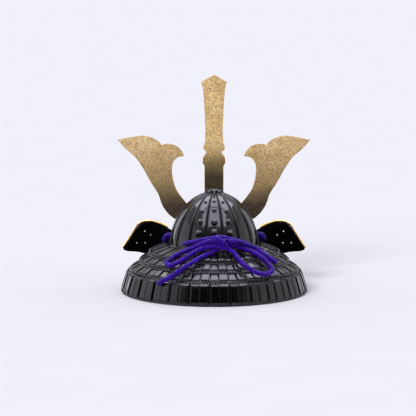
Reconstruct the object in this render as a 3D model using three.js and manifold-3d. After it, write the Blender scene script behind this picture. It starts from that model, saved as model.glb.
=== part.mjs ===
// A miniature samurai helmet: a black cast bowl and neck guard, a gilt crest of two horns and
// a blade, turned-back wings, and a cord threaded through the bowl and tied behind it.
// Millimetres. +Z is up, +Y is the way the wearer faces, +X is the wearer's right.
// Shapes are laid out round the bowl's upright axis, and the whole is then moved so that
// the origin lies under the middle of its outer box.

import * as THREE from 'three';
import { mergeVertices } from 'three/addons/utils/BufferGeometryUtils.js';
import Module from 'manifold-3d';

const wasm = await Module();
wasm.setup();

// Driving sizes, in millimetres unless a name says otherwise
const clearance = 0.3;

const bowl = {
  halfWidth: 26.8,
  halfLength: 29.6,
  rise: 32.2,
  baseHeight: 28.1,
  fullness: 1.85,
  wall: 1.8,
  waistDepth: 2.7,
  flangeReach: 1.2,
  flangeThickness: 1.0,
  panels: 16,
  ribWidth: 1.6,
  ribHeight: 0.6,
};

const rivet = { largestWidth: 4.4, heightShare: 0.36, sinking: 0.6, sides: 6 };

const crown = { radius: 5.4, thickness: 1.25, drape: 0.25, stemRadius: 2.5, stemLength: 2.4, petals: 8 };

const guard = {
  skirtRadius: 55.6,
  wall: 1.6,
  plateDegrees: 6.35,
  jointDegrees: 0.24,
  platesEachSide: 19,
  plateLift: 0.35,
  ridgeWidth: 1.5,
  ridgeHeight: 0.5,
  tuck: 0.7,
};

const visor = {
  reach: 9.5,
  drop: 3.4,
  endShare: 0.35,
  wall: 1.5,
  halfSpanDegrees: 50,
  rimWidth: 1.0,
  rimHeight: 2.1,
};

const wing = {
  innerEdge: 25.6,
  span: 29.6,
  lowestShare: 0.655,
  height: 20,
  thickness: 1.6,
  bowY: 24.9,
  bowShare: 1 / 3,
  dip: 2.2,
  sweep: 8.5,
  sweepPower: 1.6,
  rimWidth: 1.0,
  rimDepth: 2.2,
};
const wingPin = { shaftRadius: 0.7, headRadius: 1.2, headThickness: 0.6, proud: 0.4, sides: 6 };

const crest = {
  thickness: 1.8,
  height: 128,
  bladeHalfWidth: 7.8,
  hornHalfSpan: 59.1,
  hornHeight: 90.6,
  gapToBowl: 0.45,
};

const holder = {
  halfWidth: 14,
  height: 15.2,
  wall: 1.3,
  tenonHeight: 6,
  tenonDepth: 5,
  tenonLift: 6.4,
  bladeDepth: 8.6,
  pinRadius: 1.2,
  pinSpread: 7.2,
  pinLift: 9.4,
};

const cord = { radius: 1.4, sides: 8, passageClearance: 0.45 };

const knot = { across: 3.4, back: 32.9, up: 34.3, halfWidth: 3.7, halfDepth: 2.7, halfHeight: 3.5 };

// Heights and reaches that follow from those sizes
const flangeTop = bowl.baseHeight + bowl.flangeThickness;
const waistRadius = bowl.halfWidth + clearance;
const crestY = bowl.halfLength + bowl.ribHeight + crest.gapToBowl + holder.wall + crest.thickness / 2;
const socketHalfDepth = crest.thickness / 2 + clearance;
const holderBack = crestY - socketHalfDepth - holder.wall;
const holderDepth = 2 * (socketHalfDepth + holder.wall);
const holderBase = flangeTop + clearance;
const tenonBase = holderBase + holder.tenonLift;
const tenonTop = tenonBase + holder.tenonHeight;
const tenonEnd = holder.halfWidth - holder.tenonDepth;
const bladeBase = holderBase + holder.height - holder.bladeDepth;
const wingLowest = bowl.baseHeight * wing.lowestShare;

// Finishes
const blackGloss = new THREE.MeshStandardMaterial({ color: 0x16171b, roughness: 0.22, metalness: 0.35 });
const gilt = new THREE.MeshStandardMaterial({ color: 0xb8935a, roughness: 0.55, metalness: 0.9 });
const brightGilt = new THREE.MeshStandardMaterial({ color: 0xe2b968, roughness: 0.3, metalness: 0.95 });
const silk = new THREE.MeshStandardMaterial({ color: 0x4416a8, roughness: 0.75, metalness: 0 });

const radians = THREE.MathUtils.degToRad;
const degrees = THREE.MathUtils.radToDeg;
const fullTurn = 360;
const halfTurn = 180;
const smallStep = 0.01;

// The plan of the guard is an oval round the bowl that rounds out to a circle at the skirt's foot.
// Turns run in degrees from the rear centre towards the wearer's right.
function planLength(radius) {
  const stretch = (bowl.halfLength - bowl.halfWidth) / (guard.skirtRadius - bowl.halfWidth);
  return radius + Math.max(0, guard.skirtRadius - radius) * stretch;
}

function onGuardPlan(turn, radius, height) {
  const angle = radians(turn);
  return new THREE.Vector3(radius * Math.sin(angle), -planLength(radius) * Math.cos(angle), height);
}

function onBowlPlan(turn, radius, height) {
  const angle = radians(turn);
  const length = radius * (bowl.halfLength / bowl.halfWidth);
  return new THREE.Vector3(radius * Math.sin(angle), -length * Math.cos(angle), height);
}

// The dome's half width, as a share of its base, at a share of its rise
function domeShare(risen) {
  return Math.pow(1 - Math.pow(risen, bowl.fullness), 1 / bowl.fullness);
}

// A closed, merged and outward facing geometry from points and triangles
function closedGeometry(points, triangles) {
  const geometry = new THREE.BufferGeometry();
  const numbers = points.flatMap((p) => p.toArray());
  geometry.setAttribute('position', new THREE.Float32BufferAttribute(numbers, 3));
  geometry.setIndex(triangles.flat());
  return facingOut(geometry);
}

function welded(geometry) {
  geometry.deleteAttribute('normal');
  geometry.deleteAttribute('uv');
  return mergeVertices(geometry, 1e-4);
}

function facingOut(geometry) {
  const position = geometry.getAttribute('position');
  const index = geometry.getIndex();
  const corner = (i) => new THREE.Vector3().fromBufferAttribute(position, index.getX(i));
  let volume = 0;
  for (let i = 0; i < index.count; i += 3) {
    volume += corner(i).dot(corner(i + 1).cross(corner(i + 2)));
  }
  if (volume < 0) {
    for (let i = 0; i < index.count; i += 3) {
      const second = index.getX(i + 1);
      index.setX(i + 1, index.getX(i + 2));
      index.setX(i + 2, second);
    }
  }
  return geometry;
}

// Triangles that close a flat loop of points, wound the way the loop runs
function capTriangles(loop) {
  const normal = new THREE.Vector3();
  loop.forEach((p, i) => normal.add(p.clone().cross(loop[(i + 1) % loop.length])));
  const sizes = normal.toArray().map(Math.abs);
  const dropped = sizes.indexOf(Math.max(...sizes));
  const kept = [0, 1, 2].filter((axis) => axis !== dropped);
  const flat = loop.map((p) => new THREE.Vector2(p.getComponent(kept[0]), p.getComponent(kept[1])));
  const triangles = THREE.ShapeUtils.triangulateShape(flat, []);
  const runsAlong = triangles.some((t) => t.some((a, i) => t[(i + 1) % 3] === (a + 1) % loop.length));
  return runsAlong ? triangles : triangles.map(([a, b, c]) => [c, b, a]);
}

// A closed body through loops that all have the same number of points
function loft(loops) {
  const count = loops[0].length;
  const last = (loops.length - 1) * count;
  const triangles = [];
  for (let row = 0; row < last; row += count) {
    for (let i = 0; i < count; i += 1) {
      const [a, b] = [row + i, row + ((i + 1) % count)];
      triangles.push([a, b, a + count], [b, b + count, a + count]);
    }
  }
  triangles.push(...capTriangles(loops[0]).map(([a, b, c]) => [c, b, a]));
  triangles.push(...capTriangles(loops.at(-1)).map((t) => t.map((i) => i + last)));
  return closedGeometry(loops.flat(), triangles);
}

// A flat plate standing across the helmet, from an outline of points across and up
function uprightPlate(outline, thickness, middleY) {
  const shape = new THREE.Shape(outline);
  const geometry = new THREE.ExtrudeGeometry(shape, { depth: thickness, bevelEnabled: false, steps: 1 });
  geometry.rotateX(Math.PI / 2);
  geometry.translate(0, middleY + thickness / 2, 0);
  return facingOut(welded(geometry));
}

function boxBetween(low, high) {
  const geometry = new THREE.BoxGeometry(high[0] - low[0], high[1] - low[1], high[2] - low[2]);
  geometry.translate((low[0] + high[0]) / 2, (low[1] + high[1]) / 2, (low[2] + high[2]) / 2);
  return welded(geometry);
}

function rodBetween(start, end, radius, sides) {
  const along = end.clone().sub(start);
  const geometry = new THREE.CylinderGeometry(radius, radius, along.length(), sides);
  const turn = new THREE.Quaternion().setFromUnitVectors(new THREE.Vector3(0, 1, 0), along.normalize());
  geometry.applyQuaternion(turn);
  geometry.translate((start.x + end.x) / 2, (start.y + end.y) / 2, (start.z + end.z) / 2);
  return welded(geometry);
}

// Cutting and joining
function toSolid(geometry) {
  const vertProperties = new Float32Array(geometry.getAttribute('position').array);
  const triVerts = new Uint32Array(geometry.getIndex().array);
  return new wasm.Manifold(new wasm.Mesh({ numProp: 3, vertProperties, triVerts }));
}

function toGeometry(solid) {
  const mesh = solid.getMesh();
  const geometry = new THREE.BufferGeometry();
  geometry.setAttribute('position', new THREE.BufferAttribute(mesh.vertProperties, 3));
  geometry.setIndex(new THREE.BufferAttribute(mesh.triVerts, 1));
  return geometry;
}

function piece(name, geometry, material) {
  const mesh = new THREE.Mesh(geometry, material);
  mesh.name = name;
  return mesh;
}

// One level loop of the fluted outside: on each panel its two feet and its middle, then a rib
function fluteLoop(radius, height, ribHeight) {
  const pitch = fullTurn / bowl.panels;
  const ribHalf = Math.min(degrees(bowl.ribWidth / 2 / radius), pitch / 5);
  const foot = pitch / 2 - ribHalf;
  const ribEdge = pitch / 2 - ribHalf / 2;
  const loop = [];
  for (let panel = 0; panel < bowl.panels; panel += 1) {
    const middle = panel * pitch;
    loop.push(onBowlPlan(middle - foot, radius, height));
    loop.push(onBowlPlan(middle, radius, height));
    loop.push(onBowlPlan(middle + foot, radius, height));
    loop.push(onBowlPlan(middle + ribEdge, radius + ribHeight, height));
    loop.push(onBowlPlan(middle + pitch - ribEdge, radius + ribHeight, height));
  }
  return loop;
}

// Heights of the outside's loops, as shares of the dome's rise
const domeLevels = [0, 0.2, 0.38, 0.54, 0.68, 0.8, 0.9, 0.965, 0.99];

function bowlOutside() {
  const waistFoot = bowl.baseHeight - bowl.waistDepth;
  const flange = bowl.halfWidth + bowl.flangeReach;
  const dome = domeLevels.map((risen) => {
    const radius = bowl.halfWidth * domeShare(risen);
    const height = risen === 0 ? flangeTop : bowl.baseHeight + bowl.rise * risen;
    return fluteLoop(radius, height, bowl.ribHeight * Math.min(1, (2 * radius) / bowl.halfWidth));
  });
  return loft([
    fluteLoop(bowl.halfWidth, waistFoot, 0),
    fluteLoop(bowl.halfWidth, bowl.baseHeight, 0),
    fluteLoop(flange, bowl.baseHeight, 0),
    fluteLoop(flange, flangeTop, 0),
    ...dome,
  ]);
}

function bowlInside() {
  const sides = 24;
  const radius = bowl.halfWidth - bowl.wall;
  const loopAt = (share, height) =>
    Array.from({ length: sides }, (_, i) => onBowlPlan((fullTurn * i) / sides, radius * share, height));
  const levels = [0, 0.25, 0.48, 0.68, 0.84, 0.95, 0.99];
  const belowWaist = bowl.baseHeight - 2 * bowl.waistDepth;
  return loft([
    loopAt(1, belowWaist),
    ...levels.map((risen) => loopAt(domeShare(risen), bowl.baseHeight + (bowl.rise - bowl.wall) * risen)),
  ]);
}

// Rivets down the three rear panels: place up the dome and width, as shares
const rivetColumns = [
  { panel: 0, rows: [[0.925, 0.41], [0.857, 0.5], [0.714, 0.68], [0.516, 0.91], [0.342, 1]] },
  { panel: -1, rows: [[0.842, 0.5], [0.693, 0.68], [0.516, 0.86], [0.314, 1]] },
  { panel: 1, rows: [[0.842, 0.5], [0.693, 0.68], [0.516, 0.86], [0.314, 1]] },
];

function domeNormal(point, risen) {
  const { halfWidth, halfLength, rise, fullness } = bowl;
  const across = Math.hypot(point.x / halfWidth, point.y / halfLength);
  const slope = Math.pow(across, fullness - 2);
  return new THREE.Vector3(
    (slope * point.x) / halfWidth ** 2,
    (slope * point.y) / halfLength ** 2,
    Math.pow(risen, fullness - 1) / rise,
  ).normalize();
}

function rivetHead(turn, risen, width) {
  const seat = onBowlPlan(turn, bowl.halfWidth * domeShare(risen), bowl.baseHeight + bowl.rise * risen);
  const normal = domeNormal(seat, risen);
  const side = new THREE.Vector3(0, 0, 1).cross(normal).normalize();
  const up = normal.clone().cross(side);
  const height = width * rivet.heightShare;
  const rings = [[-rivet.sinking, 1], [0, 1], [0.65 * height, 0.78], [height, 0.35]];
  return loft(rings.map(([lift, share]) =>
    Array.from({ length: rivet.sides }, (_, i) => {
      const angle = (2 * Math.PI * i) / rivet.sides;
      const reach = (width / 2) * share;
      return seat.clone()
        .addScaledVector(normal, lift)
        .addScaledVector(side, reach * Math.cos(angle))
        .addScaledVector(up, reach * Math.sin(angle));
    })));
}

function makeBowl() {
  let solid = toSolid(bowlOutside());
  for (const column of rivetColumns) {
    for (const [risen, share] of column.rows) {
      const turn = (column.panel * fullTurn) / bowl.panels;
      solid = solid.add(toSolid(rivetHead(turn, risen, rivet.largestWidth * share)));
    }
  }
  const top = bowl.baseHeight + bowl.rise;
  const stemHole = rodBetween(
    new THREE.Vector3(0, 0, top - 4 * bowl.wall),
    new THREE.Vector3(0, 0, top + bowl.wall),
    crown.stemRadius + clearance,
    16,
  );
  solid = solid.subtract(toSolid(bowlInside())).subtract(toSolid(stemHole));
  solid = solid.subtract(toSolid(cordTube(threadedRoute, cord.radius + cord.passageClearance)));
  for (const side of [-1, 1]) {
    solid = solid.subtract(toSolid(holderPin(side, holder.pinRadius + clearance, bowl.wall)));
  }
  return piece('bowl', toGeometry(solid), blackGloss);
}

// The scalloped finial: a stem in the bowl's top hole under a petalled cap
function makeCrownBoss() {
  const seat = bowl.baseHeight + bowl.rise;
  const sides = 3 * crown.petals;
  const profile = [
    { reach: crown.stemRadius, height: seat - crown.stemLength, petal: 0 },
    { reach: crown.stemRadius, height: seat, petal: 0 },
    { reach: crown.radius, height: seat - crown.drape, petal: 0.12 },
    { reach: crown.radius, height: seat + 0.3 * crown.thickness, petal: 0.12 },
    { reach: crown.radius * 0.62, height: seat + 0.85 * crown.thickness, petal: 0.06 },
    { reach: crown.radius * 0.36, height: seat + 0.7 * crown.thickness, petal: 0 },
    { reach: crown.radius * 0.25, height: seat + crown.thickness, petal: 0 },
  ];
  const loops = profile.map(({ reach, height, petal }) =>
    Array.from({ length: sides }, (_, i) => {
      const angle = (2 * Math.PI * i) / sides;
      const radius = reach * (1 - petal / 2 + (petal / 2) * Math.cos(crown.petals * angle));
      return new THREE.Vector3(radius * Math.sin(angle), -radius * Math.cos(angle), height);
    }));
  return piece('crown_boss', loft(loops), blackGloss);
}

// The tiers of the neck guard: where each foot lies, as shares of the way from the bowl's waist
// to the skirt's foot and of the bowl's base height
const tierFeet = [
  { name: 'neck_lame_1', out: 0.437, up: 0.84 },
  { name: 'neck_lame_2', out: 0.635, up: 0.664 },
  { name: 'neck_lame_3', out: 0.838, up: 0.468 },
];

// Profiles of the tiers, as points out and up, each with a share of the plates' lift.
// The tiers below the first start tucked under the foot above.
function tierProfiles() {
  const span = guard.skirtRadius - waistRadius;
  let top = new THREE.Vector2(waistRadius, bowl.baseHeight - clearance);
  const profiles = [];
  for (const tier of tierFeet) {
    const foot = new THREE.Vector2(waistRadius + span * tier.out, bowl.baseHeight * tier.up);
    const down = foot.clone().sub(top).normalize();
    const out = new THREE.Vector2(-down.y, down.x);
    const at = (start, along, lift) =>
      start.clone().addScaledVector(down, along).addScaledVector(out, lift);
    profiles.push({
      name: tier.name,
      out,
      points: [
        { at: top, lift: 0 },
        { at: at(foot, -guard.ridgeWidth, 0), lift: 1 },
        { at: at(foot, -guard.ridgeWidth / 2, guard.ridgeHeight), lift: 1 },
        { at: foot, lift: 1 },
        { at: at(foot, 0, -guard.wall), lift: 0 },
        { at: new THREE.Vector2(top.x, top.y - guard.wall / out.y), lift: 0 },
      ],
    });
    top = at(foot, -guard.tuck, -guard.wall - clearance);
  }
  profiles.push(skirtProfile(profiles.at(-1)));
  return profiles;
}

// The skirt hangs steeply from just under the last tier's foot to the ground
function skirtProfile(above) {
  const underFoot = above.points[4].at;
  const overFoot = above.points[3].at;
  const slope = overFoot.clone().sub(underFoot).normalize();
  const gap = new THREE.Vector2(slope.y, -slope.x).multiplyScalar(clearance);
  const innerTop = underFoot.clone().add(gap);
  const outerTop = overFoot.clone().add(gap).addScaledVector(slope, clearance);
  const foot = new THREE.Vector2(guard.skirtRadius, 0);
  const innerFoot = new THREE.Vector2(guard.skirtRadius - guard.wall, 0);
  return {
    name: 'neck_skirt',
    out: new THREE.Vector2(1, 0),
    points: [
      { at: outerTop, lift: 0 },
      { at: foot, lift: 1 },
      { at: innerFoot, lift: 0 },
      { at: innerTop, lift: 0 },
    ],
  };
}

// Every second plate of a tier stands proud of its neighbours
function plateEdges() {
  const edges = [];
  for (let plate = -guard.platesEachSide; plate <= guard.platesEachSide; plate += 1) {
    const middle = plate * guard.plateDegrees;
    const half = (guard.plateDegrees - guard.jointDegrees) / 2;
    const lift = plate % 2 === 0 ? 0 : 1;
    edges.push({ turn: middle - half, lift }, { turn: middle + half, lift });
  }
  return edges;
}

function makeTier(profile) {
  const loops = plateEdges().map(({ turn, lift }) =>
    profile.points.map((point) => {
      const raised = point.at.clone().addScaledVector(profile.out, guard.plateLift * lift * point.lift);
      return onGuardPlan(turn, raised.x, raised.y);
    }));
  return piece(profile.name, loft(loops), blackGloss);
}

// The visor: a crescent that starts under the flange at the front, with a gilt strip round its edge
function visorReach(turn) {
  const middle = Math.cos((Math.PI / 2) * (turn / visor.halfSpanDegrees));
  const share = visor.endShare + (1 - visor.endShare) * middle;
  const height = bowl.baseHeight - clearance - visor.drop * share;
  return { radius: waistRadius + visor.reach * share, height };
}

function visorLoops(section) {
  const steps = 12;
  return Array.from({ length: steps + 1 }, (_, i) => {
    const turn = visor.halfSpanDegrees * ((2 * i) / steps - 1);
    const corners = section(visorReach(turn));
    return corners.map(([radius, height]) => onGuardPlan(halfTurn + turn, radius, height));
  });
}

function makeVisor() {
  const top = bowl.baseHeight - clearance;
  const plate = visorLoops((edge) => [
    [waistRadius, top],
    [edge.radius, edge.height],
    [edge.radius, edge.height - visor.wall],
    [waistRadius, top - visor.wall],
  ]);
  const rim = visorLoops((edge) => {
    const inner = edge.radius + clearance;
    const low = edge.height - visor.wall / 2 - visor.rimHeight / 2;
    return [
      [inner, low + visor.rimHeight],
      [inner + visor.rimWidth, low + visor.rimHeight],
      [inner + visor.rimWidth, low],
      [inner, low],
    ];
  });
  return [piece('visor', loft(plate), blackGloss), piece('visor_rim', loft(rim), brightGilt)];
}

// Upright stations across a wing, from its root to its tip: how far out, and where its lower and
// upper edges lie, as shares of the wing's span from its inner edge and of its height
const wingStations = [
  { out: 0, low: 0.33, high: 0.74 },
  { out: 0.1, low: 0.25, high: 0.83 },
  { out: 0.21, low: 0.2, high: 0.905 },
  { out: 0.32, low: 0.165, high: 0.955 },
  { out: 0.43, low: 0.115, high: 0.995 },
  { out: 0.516, low: 0, high: 1 },
  { out: 0.6, low: 0.045, high: 0.99 },
  { out: 0.68, low: 0.08, high: 0.93 },
  { out: 0.76, low: 0.105, high: 0.755 },
  { out: 0.83, low: 0.12, high: 0.6 },
  { out: 0.92, low: 0.14, high: 0.41 },
  { out: 1, low: 0.2, high: 0.25 },
];

// Pins through each wing, placed by the same shares
const wingPinPlaces = [
  { out: 0.58, up: 0.715 },
  { out: 0.45, up: 0.6 },
  { out: 0.57, up: 0.36 },
  { out: 0.745, up: 0.375 },
];

function wingPoint(out, up) {
  return new THREE.Vector2(wing.innerEdge + wing.span * out, wingLowest + wing.height * up);
}

// How far forward the wing stands at a place across: it bows forward, then sweeps back
function wingY(across) {
  const inside = wing.span * wing.bowShare;
  const away = across - wing.innerEdge - inside;
  if (away < 0) {
    return wing.bowY - wing.dip * (away / inside) ** 2;
  }
  return wing.bowY - wing.sweep * (away / (wing.span - inside)) ** wing.sweepPower;
}

function wingPinAxis(place) {
  const at = wingPoint(place.out, place.up);
  const slope = (wingY(at.x + smallStep) - wingY(at.x - smallStep)) / (2 * smallStep);
  const seat = new THREE.Vector3(at.x, wingY(at.x), at.y);
  return { seat, normal: new THREE.Vector3(-slope, 1, 0).normalize() };
}

function mirroredAcross(geometry, side) {
  if (side < 0) {
    geometry.scale(-1, 1, 1);
  }
  return facingOut(geometry);
}

function makeWing(side, word) {
  const loops = wingStations.map(({ out, low, high }) => {
    const [foot, head] = [wingPoint(out, low), wingPoint(out, high)];
    const [back, front] = [wingY(foot.x) - wing.thickness / 2, wingY(foot.x) + wing.thickness / 2];
    return [
      new THREE.Vector3(foot.x, back, foot.y),
      new THREE.Vector3(head.x, back, head.y),
      new THREE.Vector3(head.x, front, head.y),
      new THREE.Vector3(foot.x, front, foot.y),
    ];
  });
  let solid = toSolid(loft(loops));
  for (const place of wingPinPlaces) {
    const { seat, normal } = wingPinAxis(place);
    const start = seat.clone().addScaledVector(normal, -2 * wing.thickness);
    const end = seat.clone().addScaledVector(normal, 2 * wing.thickness);
    const hole = rodBetween(start, end, wingPin.shaftRadius + clearance, wingPin.sides);
    solid = solid.subtract(toSolid(hole));
  }
  return piece(`wing_${word}`, mirroredAcross(toGeometry(solid), side), blackGloss);
}

// The gilt strip along a wing's upper edge, from beside its root to its tip
function makeWingRim(side, word) {
  const edge = wingStations.map(({ out, high }) => wingPoint(out, high));
  const loops = [];
  for (let i = 1; i < edge.length; i += 1) {
    const along = edge[Math.min(i + 1, edge.length - 1)].clone().sub(edge[i - 1]).normalize();
    const out = new THREE.Vector2(-along.y, along.x);
    const inner = edge[i].clone().addScaledVector(out, clearance);
    const outer = edge[i].clone().addScaledVector(out, clearance + wing.rimWidth);
    const y = wingY(edge[i].x);
    const [back, front] = [y - wing.rimDepth / 2, y + wing.rimDepth / 2];
    loops.push([
      new THREE.Vector3(inner.x, back, inner.y),
      new THREE.Vector3(outer.x, back, outer.y),
      new THREE.Vector3(outer.x, front, outer.y),
      new THREE.Vector3(inner.x, front, inner.y),
    ]);
  }
  return piece(`wing_rim_${word}`, mirroredAcross(loft(loops), side), brightGilt);
}

function makeWingPins(side, word) {
  const faceLift = wing.thickness / 2;
  const profile = [
    new THREE.Vector2(0, -faceLift - wingPin.proud),
    new THREE.Vector2(wingPin.shaftRadius, -faceLift - wingPin.proud),
    new THREE.Vector2(wingPin.shaftRadius, faceLift + clearance),
    new THREE.Vector2(wingPin.headRadius, faceLift + clearance),
    new THREE.Vector2(wingPin.headRadius, faceLift + clearance + wingPin.headThickness),
    new THREE.Vector2(0, faceLift + clearance + wingPin.headThickness),
  ];
  return wingPinPlaces.map((place, i) => {
    const { seat, normal } = wingPinAxis(place);
    const geometry = facingOut(welded(new THREE.LatheGeometry(profile, wingPin.sides)));
    const mesh = piece(`wing_pin_${word}_${i + 1}`, geometry, brightGilt);
    normal.x *= side;
    mesh.position.set(side * seat.x, seat.y, seat.z);
    mesh.quaternion.setFromUnitVectors(new THREE.Vector3(0, 1, 0), normal);
    return mesh;
  });
}

// The horns' outline, as shares of their half span and of their rise above the tenon's foot.
// Each stretch is a smooth curve, and stretches meet in corners.
const hornStretches = [
  [[0.42, 0.065], [0.48, 0.122], [0.535, 0.205], [0.555, 0.258]],
  [[0.555, 0.258], [0.582, 0.343], [0.653, 0.466], [0.748, 0.65], [0.824, 0.764], [0.917, 0.851],
    [1, 0.953]],
  [[1, 0.953], [0.9, 0.975], [0.746, 1], [0.641, 0.978], [0.563, 0.923], [0.543, 0.897]],
  [[0.543, 0.897], [0.479, 0.908], [0.389, 0.885], [0.34, 0.836], [0.308, 0.77]],
  [[0.308, 0.77], [0.374, 0.757], [0.423, 0.704], [0.437, 0.616], [0.425, 0.505],
    [0.393, 0.397], [0.349, 0.324], [0.294, 0.25], [0.237, 0.175]],
];

function hornOutline() {
  const rise = crest.hornHeight - tenonBase;
  const place = ([out, up]) => new THREE.Vector2(crest.hornHalfSpan * out, tenonBase + rise * up);
  const outline = [
    new THREE.Vector2(holder.halfWidth + clearance, tenonTop),
    new THREE.Vector2(tenonEnd, tenonTop),
    new THREE.Vector2(tenonEnd, tenonBase),
    new THREE.Vector2(holder.halfWidth + 4 * clearance, tenonBase),
  ];
  for (const stretch of hornStretches) {
    const curve = new THREE.SplineCurve(stretch.map(place));
    const points = curve.getPoints(2 * (stretch.length - 1));
    outline.push(...(stretch === hornStretches[0] ? points : points.slice(1)));
  }
  return outline;
}

function makeHorn(side, word) {
  const plate = uprightPlate(hornOutline(), crest.thickness, crestY);
  return piece(`horn_${word}`, mirroredAcross(plate, side), gilt);
}

// The blade's half outline from the tip down, as shares of its greatest half width and of the
// rise from its foot in the holder to its tip
const bladeOutline = [
  { out: 0, up: 1 },
  { out: 1, up: 0.952 },
  { out: 0.859, up: 0.907 },
  { out: 0.769, up: 0.803 },
  { out: 0.686, up: 0.646 },
  { out: 0.72, up: 0.55 },
  { out: 0.85, up: 0.52 },
  { out: 0.83, up: 0.5 },
  { out: 0.583, up: 0.484 },
  { out: 0.865, up: 0.447 },
  { out: 0.91, up: 0.415 },
  { out: 0.75, up: 0.388 },
  { out: 0.75, up: 0 },
];

function makeBlade() {
  const rise = crest.height - bladeBase;
  const right = bladeOutline.map(({ out, up }) =>
    new THREE.Vector2(crest.bladeHalfWidth * out, bladeBase + rise * up));
  const left = right.slice(1).reverse().map((p) => new THREE.Vector2(-p.x, p.y));
  return piece('crest_blade', uprightPlate([...right, ...left], crest.thickness, crestY), gilt);
}

// The holder's half outline from its foot up, as shares of its half width and height
const holderOutline = [
  { out: 0.72, up: 0 },
  { out: 0.86, up: 0.16 },
  { out: 1, up: 0.32 },
  { out: 1, up: 0.86 },
  { out: 0.9, up: 0.98 },
  { out: 0.74, up: 1 },
  { out: 0.62, up: 0.92 },
];

function holderPin(side, radius, extraReach) {
  const height = holderBase + holder.pinLift;
  const end = bowl.halfLength - 4 * bowl.wall - extraReach;
  return rodBetween(
    new THREE.Vector3(side * holder.pinSpread, end, height),
    new THREE.Vector3(side * holder.pinSpread, holderBack + holder.wall / 2, height),
    radius,
    8,
  );
}

function makeHolder() {
  const right = holderOutline.map(({ out, up }) =>
    new THREE.Vector2(holder.halfWidth * out, holderBase + holder.height * up));
  const left = right.slice().reverse().map((p) => new THREE.Vector2(-p.x, p.y));
  const block = uprightPlate([...right, ...left], holderDepth, holderBack + holderDepth / 2);
  const [back, front] = [crestY - socketHalfDepth, crestY + socketHalfDepth];
  const bladeHalf = crest.bladeHalfWidth * bladeOutline.at(-1).out + clearance;
  const beyond = 2 * holder.halfWidth;
  const above = holderBase + 2 * holder.height;
  let solid = toSolid(block);
  const bladeSlot = boxBetween([-bladeHalf, back, bladeBase - clearance], [bladeHalf, front, above]);
  solid = solid.subtract(toSolid(bladeSlot));
  for (const side of [-1, 1]) {
    const across = [side * (tenonEnd - clearance), side * beyond].sort((a, b) => a - b);
    const low = [across[0], back, tenonBase - clearance];
    const high = [across[1], front, tenonTop + clearance];
    solid = solid.subtract(toSolid(boxBetween(low, high)));
    solid = solid.add(toSolid(holderPin(side, holder.pinRadius, 0)));
  }
  return piece('crest_holder', toGeometry(solid), brightGilt);
}

// The cord's chosen routes, as points across, forward and up from the bowl's axis at the ground.
// The threaded stretch runs from the knot through the rear left hole, round inside the bowl,
// out and in again at each side, and back by the rear right hole.
const threadedRoute = {
  steps: 44,
  points: [
    [-0.9, -31.2, 36.2], [-5, -30.9, 35.6], [-9, -30.3, 34.6], [-12.8, -28.7, 33.6], [-15.6, -25.9, 32.6],
    [-17.1, -22, 31.7], [-18.2, -17.6, 31.3], [-20.8, -10.6, 32], [-22.6, -4, 33.2], [-25, -0.6, 33.8],
    [-28.2, 1.8, 33.2], [-29.9, 5, 30.6], [-29.4, 8.8, 29.5], [-26.6, 12.2, 30.9], [-22.8, 14.4, 31],
    [-19.2, 17, 31], [-12.6, 21.4, 31], [0, 23.9, 31], [12.6, 21.4, 31], [19.2, 17, 31],
    [22.4, 14.4, 31], [26.6, 12.4, 31.1], [29.5, 8.9, 30.1], [30, 5, 31.4], [28.4, 1.7, 33.8],
    [25.2, -0.7, 34.4], [22.7, -4, 33.6], [21.8, -11, 32], [20, -18.2, 31.2],
    [18.3, -22.6, 31.9], [16.2, -25.9, 33.2], [13, -28.6, 34.6], [10, -30.2, 35.6], [7.5, -31.1, 36.2],
  ],
};
const leftLoopRoute = {
  steps: 15,
  points: [
    [-0.9, -34.6, 32.2], [-5, -34.6, 31.4], [-9, -35.2, 30], [-13, -36.6, 28], [-17, -38.8, 25.8],
    [-22, -40.2, 23], [-26, -39.4, 21.6], [-27.8, -36.6, 22.6], [-25.2, -34.2, 24.9],
    [-21, -32.6, 27.2], [-16, -31.4, 29.2], [-11, -32, 31.4], [-6, -33.6, 34], [-0.9, -34.2, 35.4],
  ],
};

const rightLoopRoute = {
  steps: 15,
  points: [
    [8, -31.3, 33], [12, -30.6, 31.8], [17, -29.6, 30], [22, -29.4, 28.2], [27, -31.6, 25.7],
    [31.5, -34.6, 21.8], [33.8, -37.6, 18.4], [31, -41.4, 17], [26, -44, 17.6], [20.4, -44.2, 20.4],
    [16, -41.9, 23.5], [13.4, -38.8, 26.4], [10.6, -35.2, 29], [7.8, -34.4, 30.8],
  ],
};

const leftTailRoute = {
  steps: 9,
  points: [
    [0.9, -33.2, 29.4], [-3, -35.8, 28], [-8, -39.8, 26.2], [-14, -43.2, 23.2], [-20, -45.2, 19.6],
    [-26, -46.2, 15.6], [-30, -45.2, 13.4], [-32.4, -44.2, 11.4],
  ],
};

const rightTailRoute = {
  steps: 9,
  points: [
    [7.7, -34.3, 35.2], [12, -33.1, 34.8], [17, -29.9, 33.2], [21, -26.6, 31.2], [25, -25.2, 29],
    [29, -27, 26.6], [33.5, -29.2, 23.7], [36.5, -29.2, 21.8],
  ],
};

function cordTube(route, radius) {
  const places = route.points.map((p) => new THREE.Vector3(...p));
  const path = new THREE.CatmullRomCurve3(places, false, 'centripetal');
  const section = new THREE.Shape(Array.from({ length: cord.sides }, (_, i) => {
    const angle = (2 * Math.PI * (i + 0.5)) / cord.sides;
    return new THREE.Vector2(radius * Math.cos(angle), radius * Math.sin(angle));
  }));
  const options = { steps: route.steps, extrudePath: path, bevelEnabled: false };
  return facingOut(welded(new THREE.ExtrudeGeometry(section, options)));
}

// The knot: one rounded lump that the strands run into
function makeKnot() {
  const geometry = welded(new THREE.SphereGeometry(1, 10, 8));
  geometry.scale(knot.halfWidth, knot.halfDepth, knot.halfHeight);
  geometry.translate(knot.across, -knot.back, knot.up);
  return piece('bow_knot', facingOut(geometry), silk);
}

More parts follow.
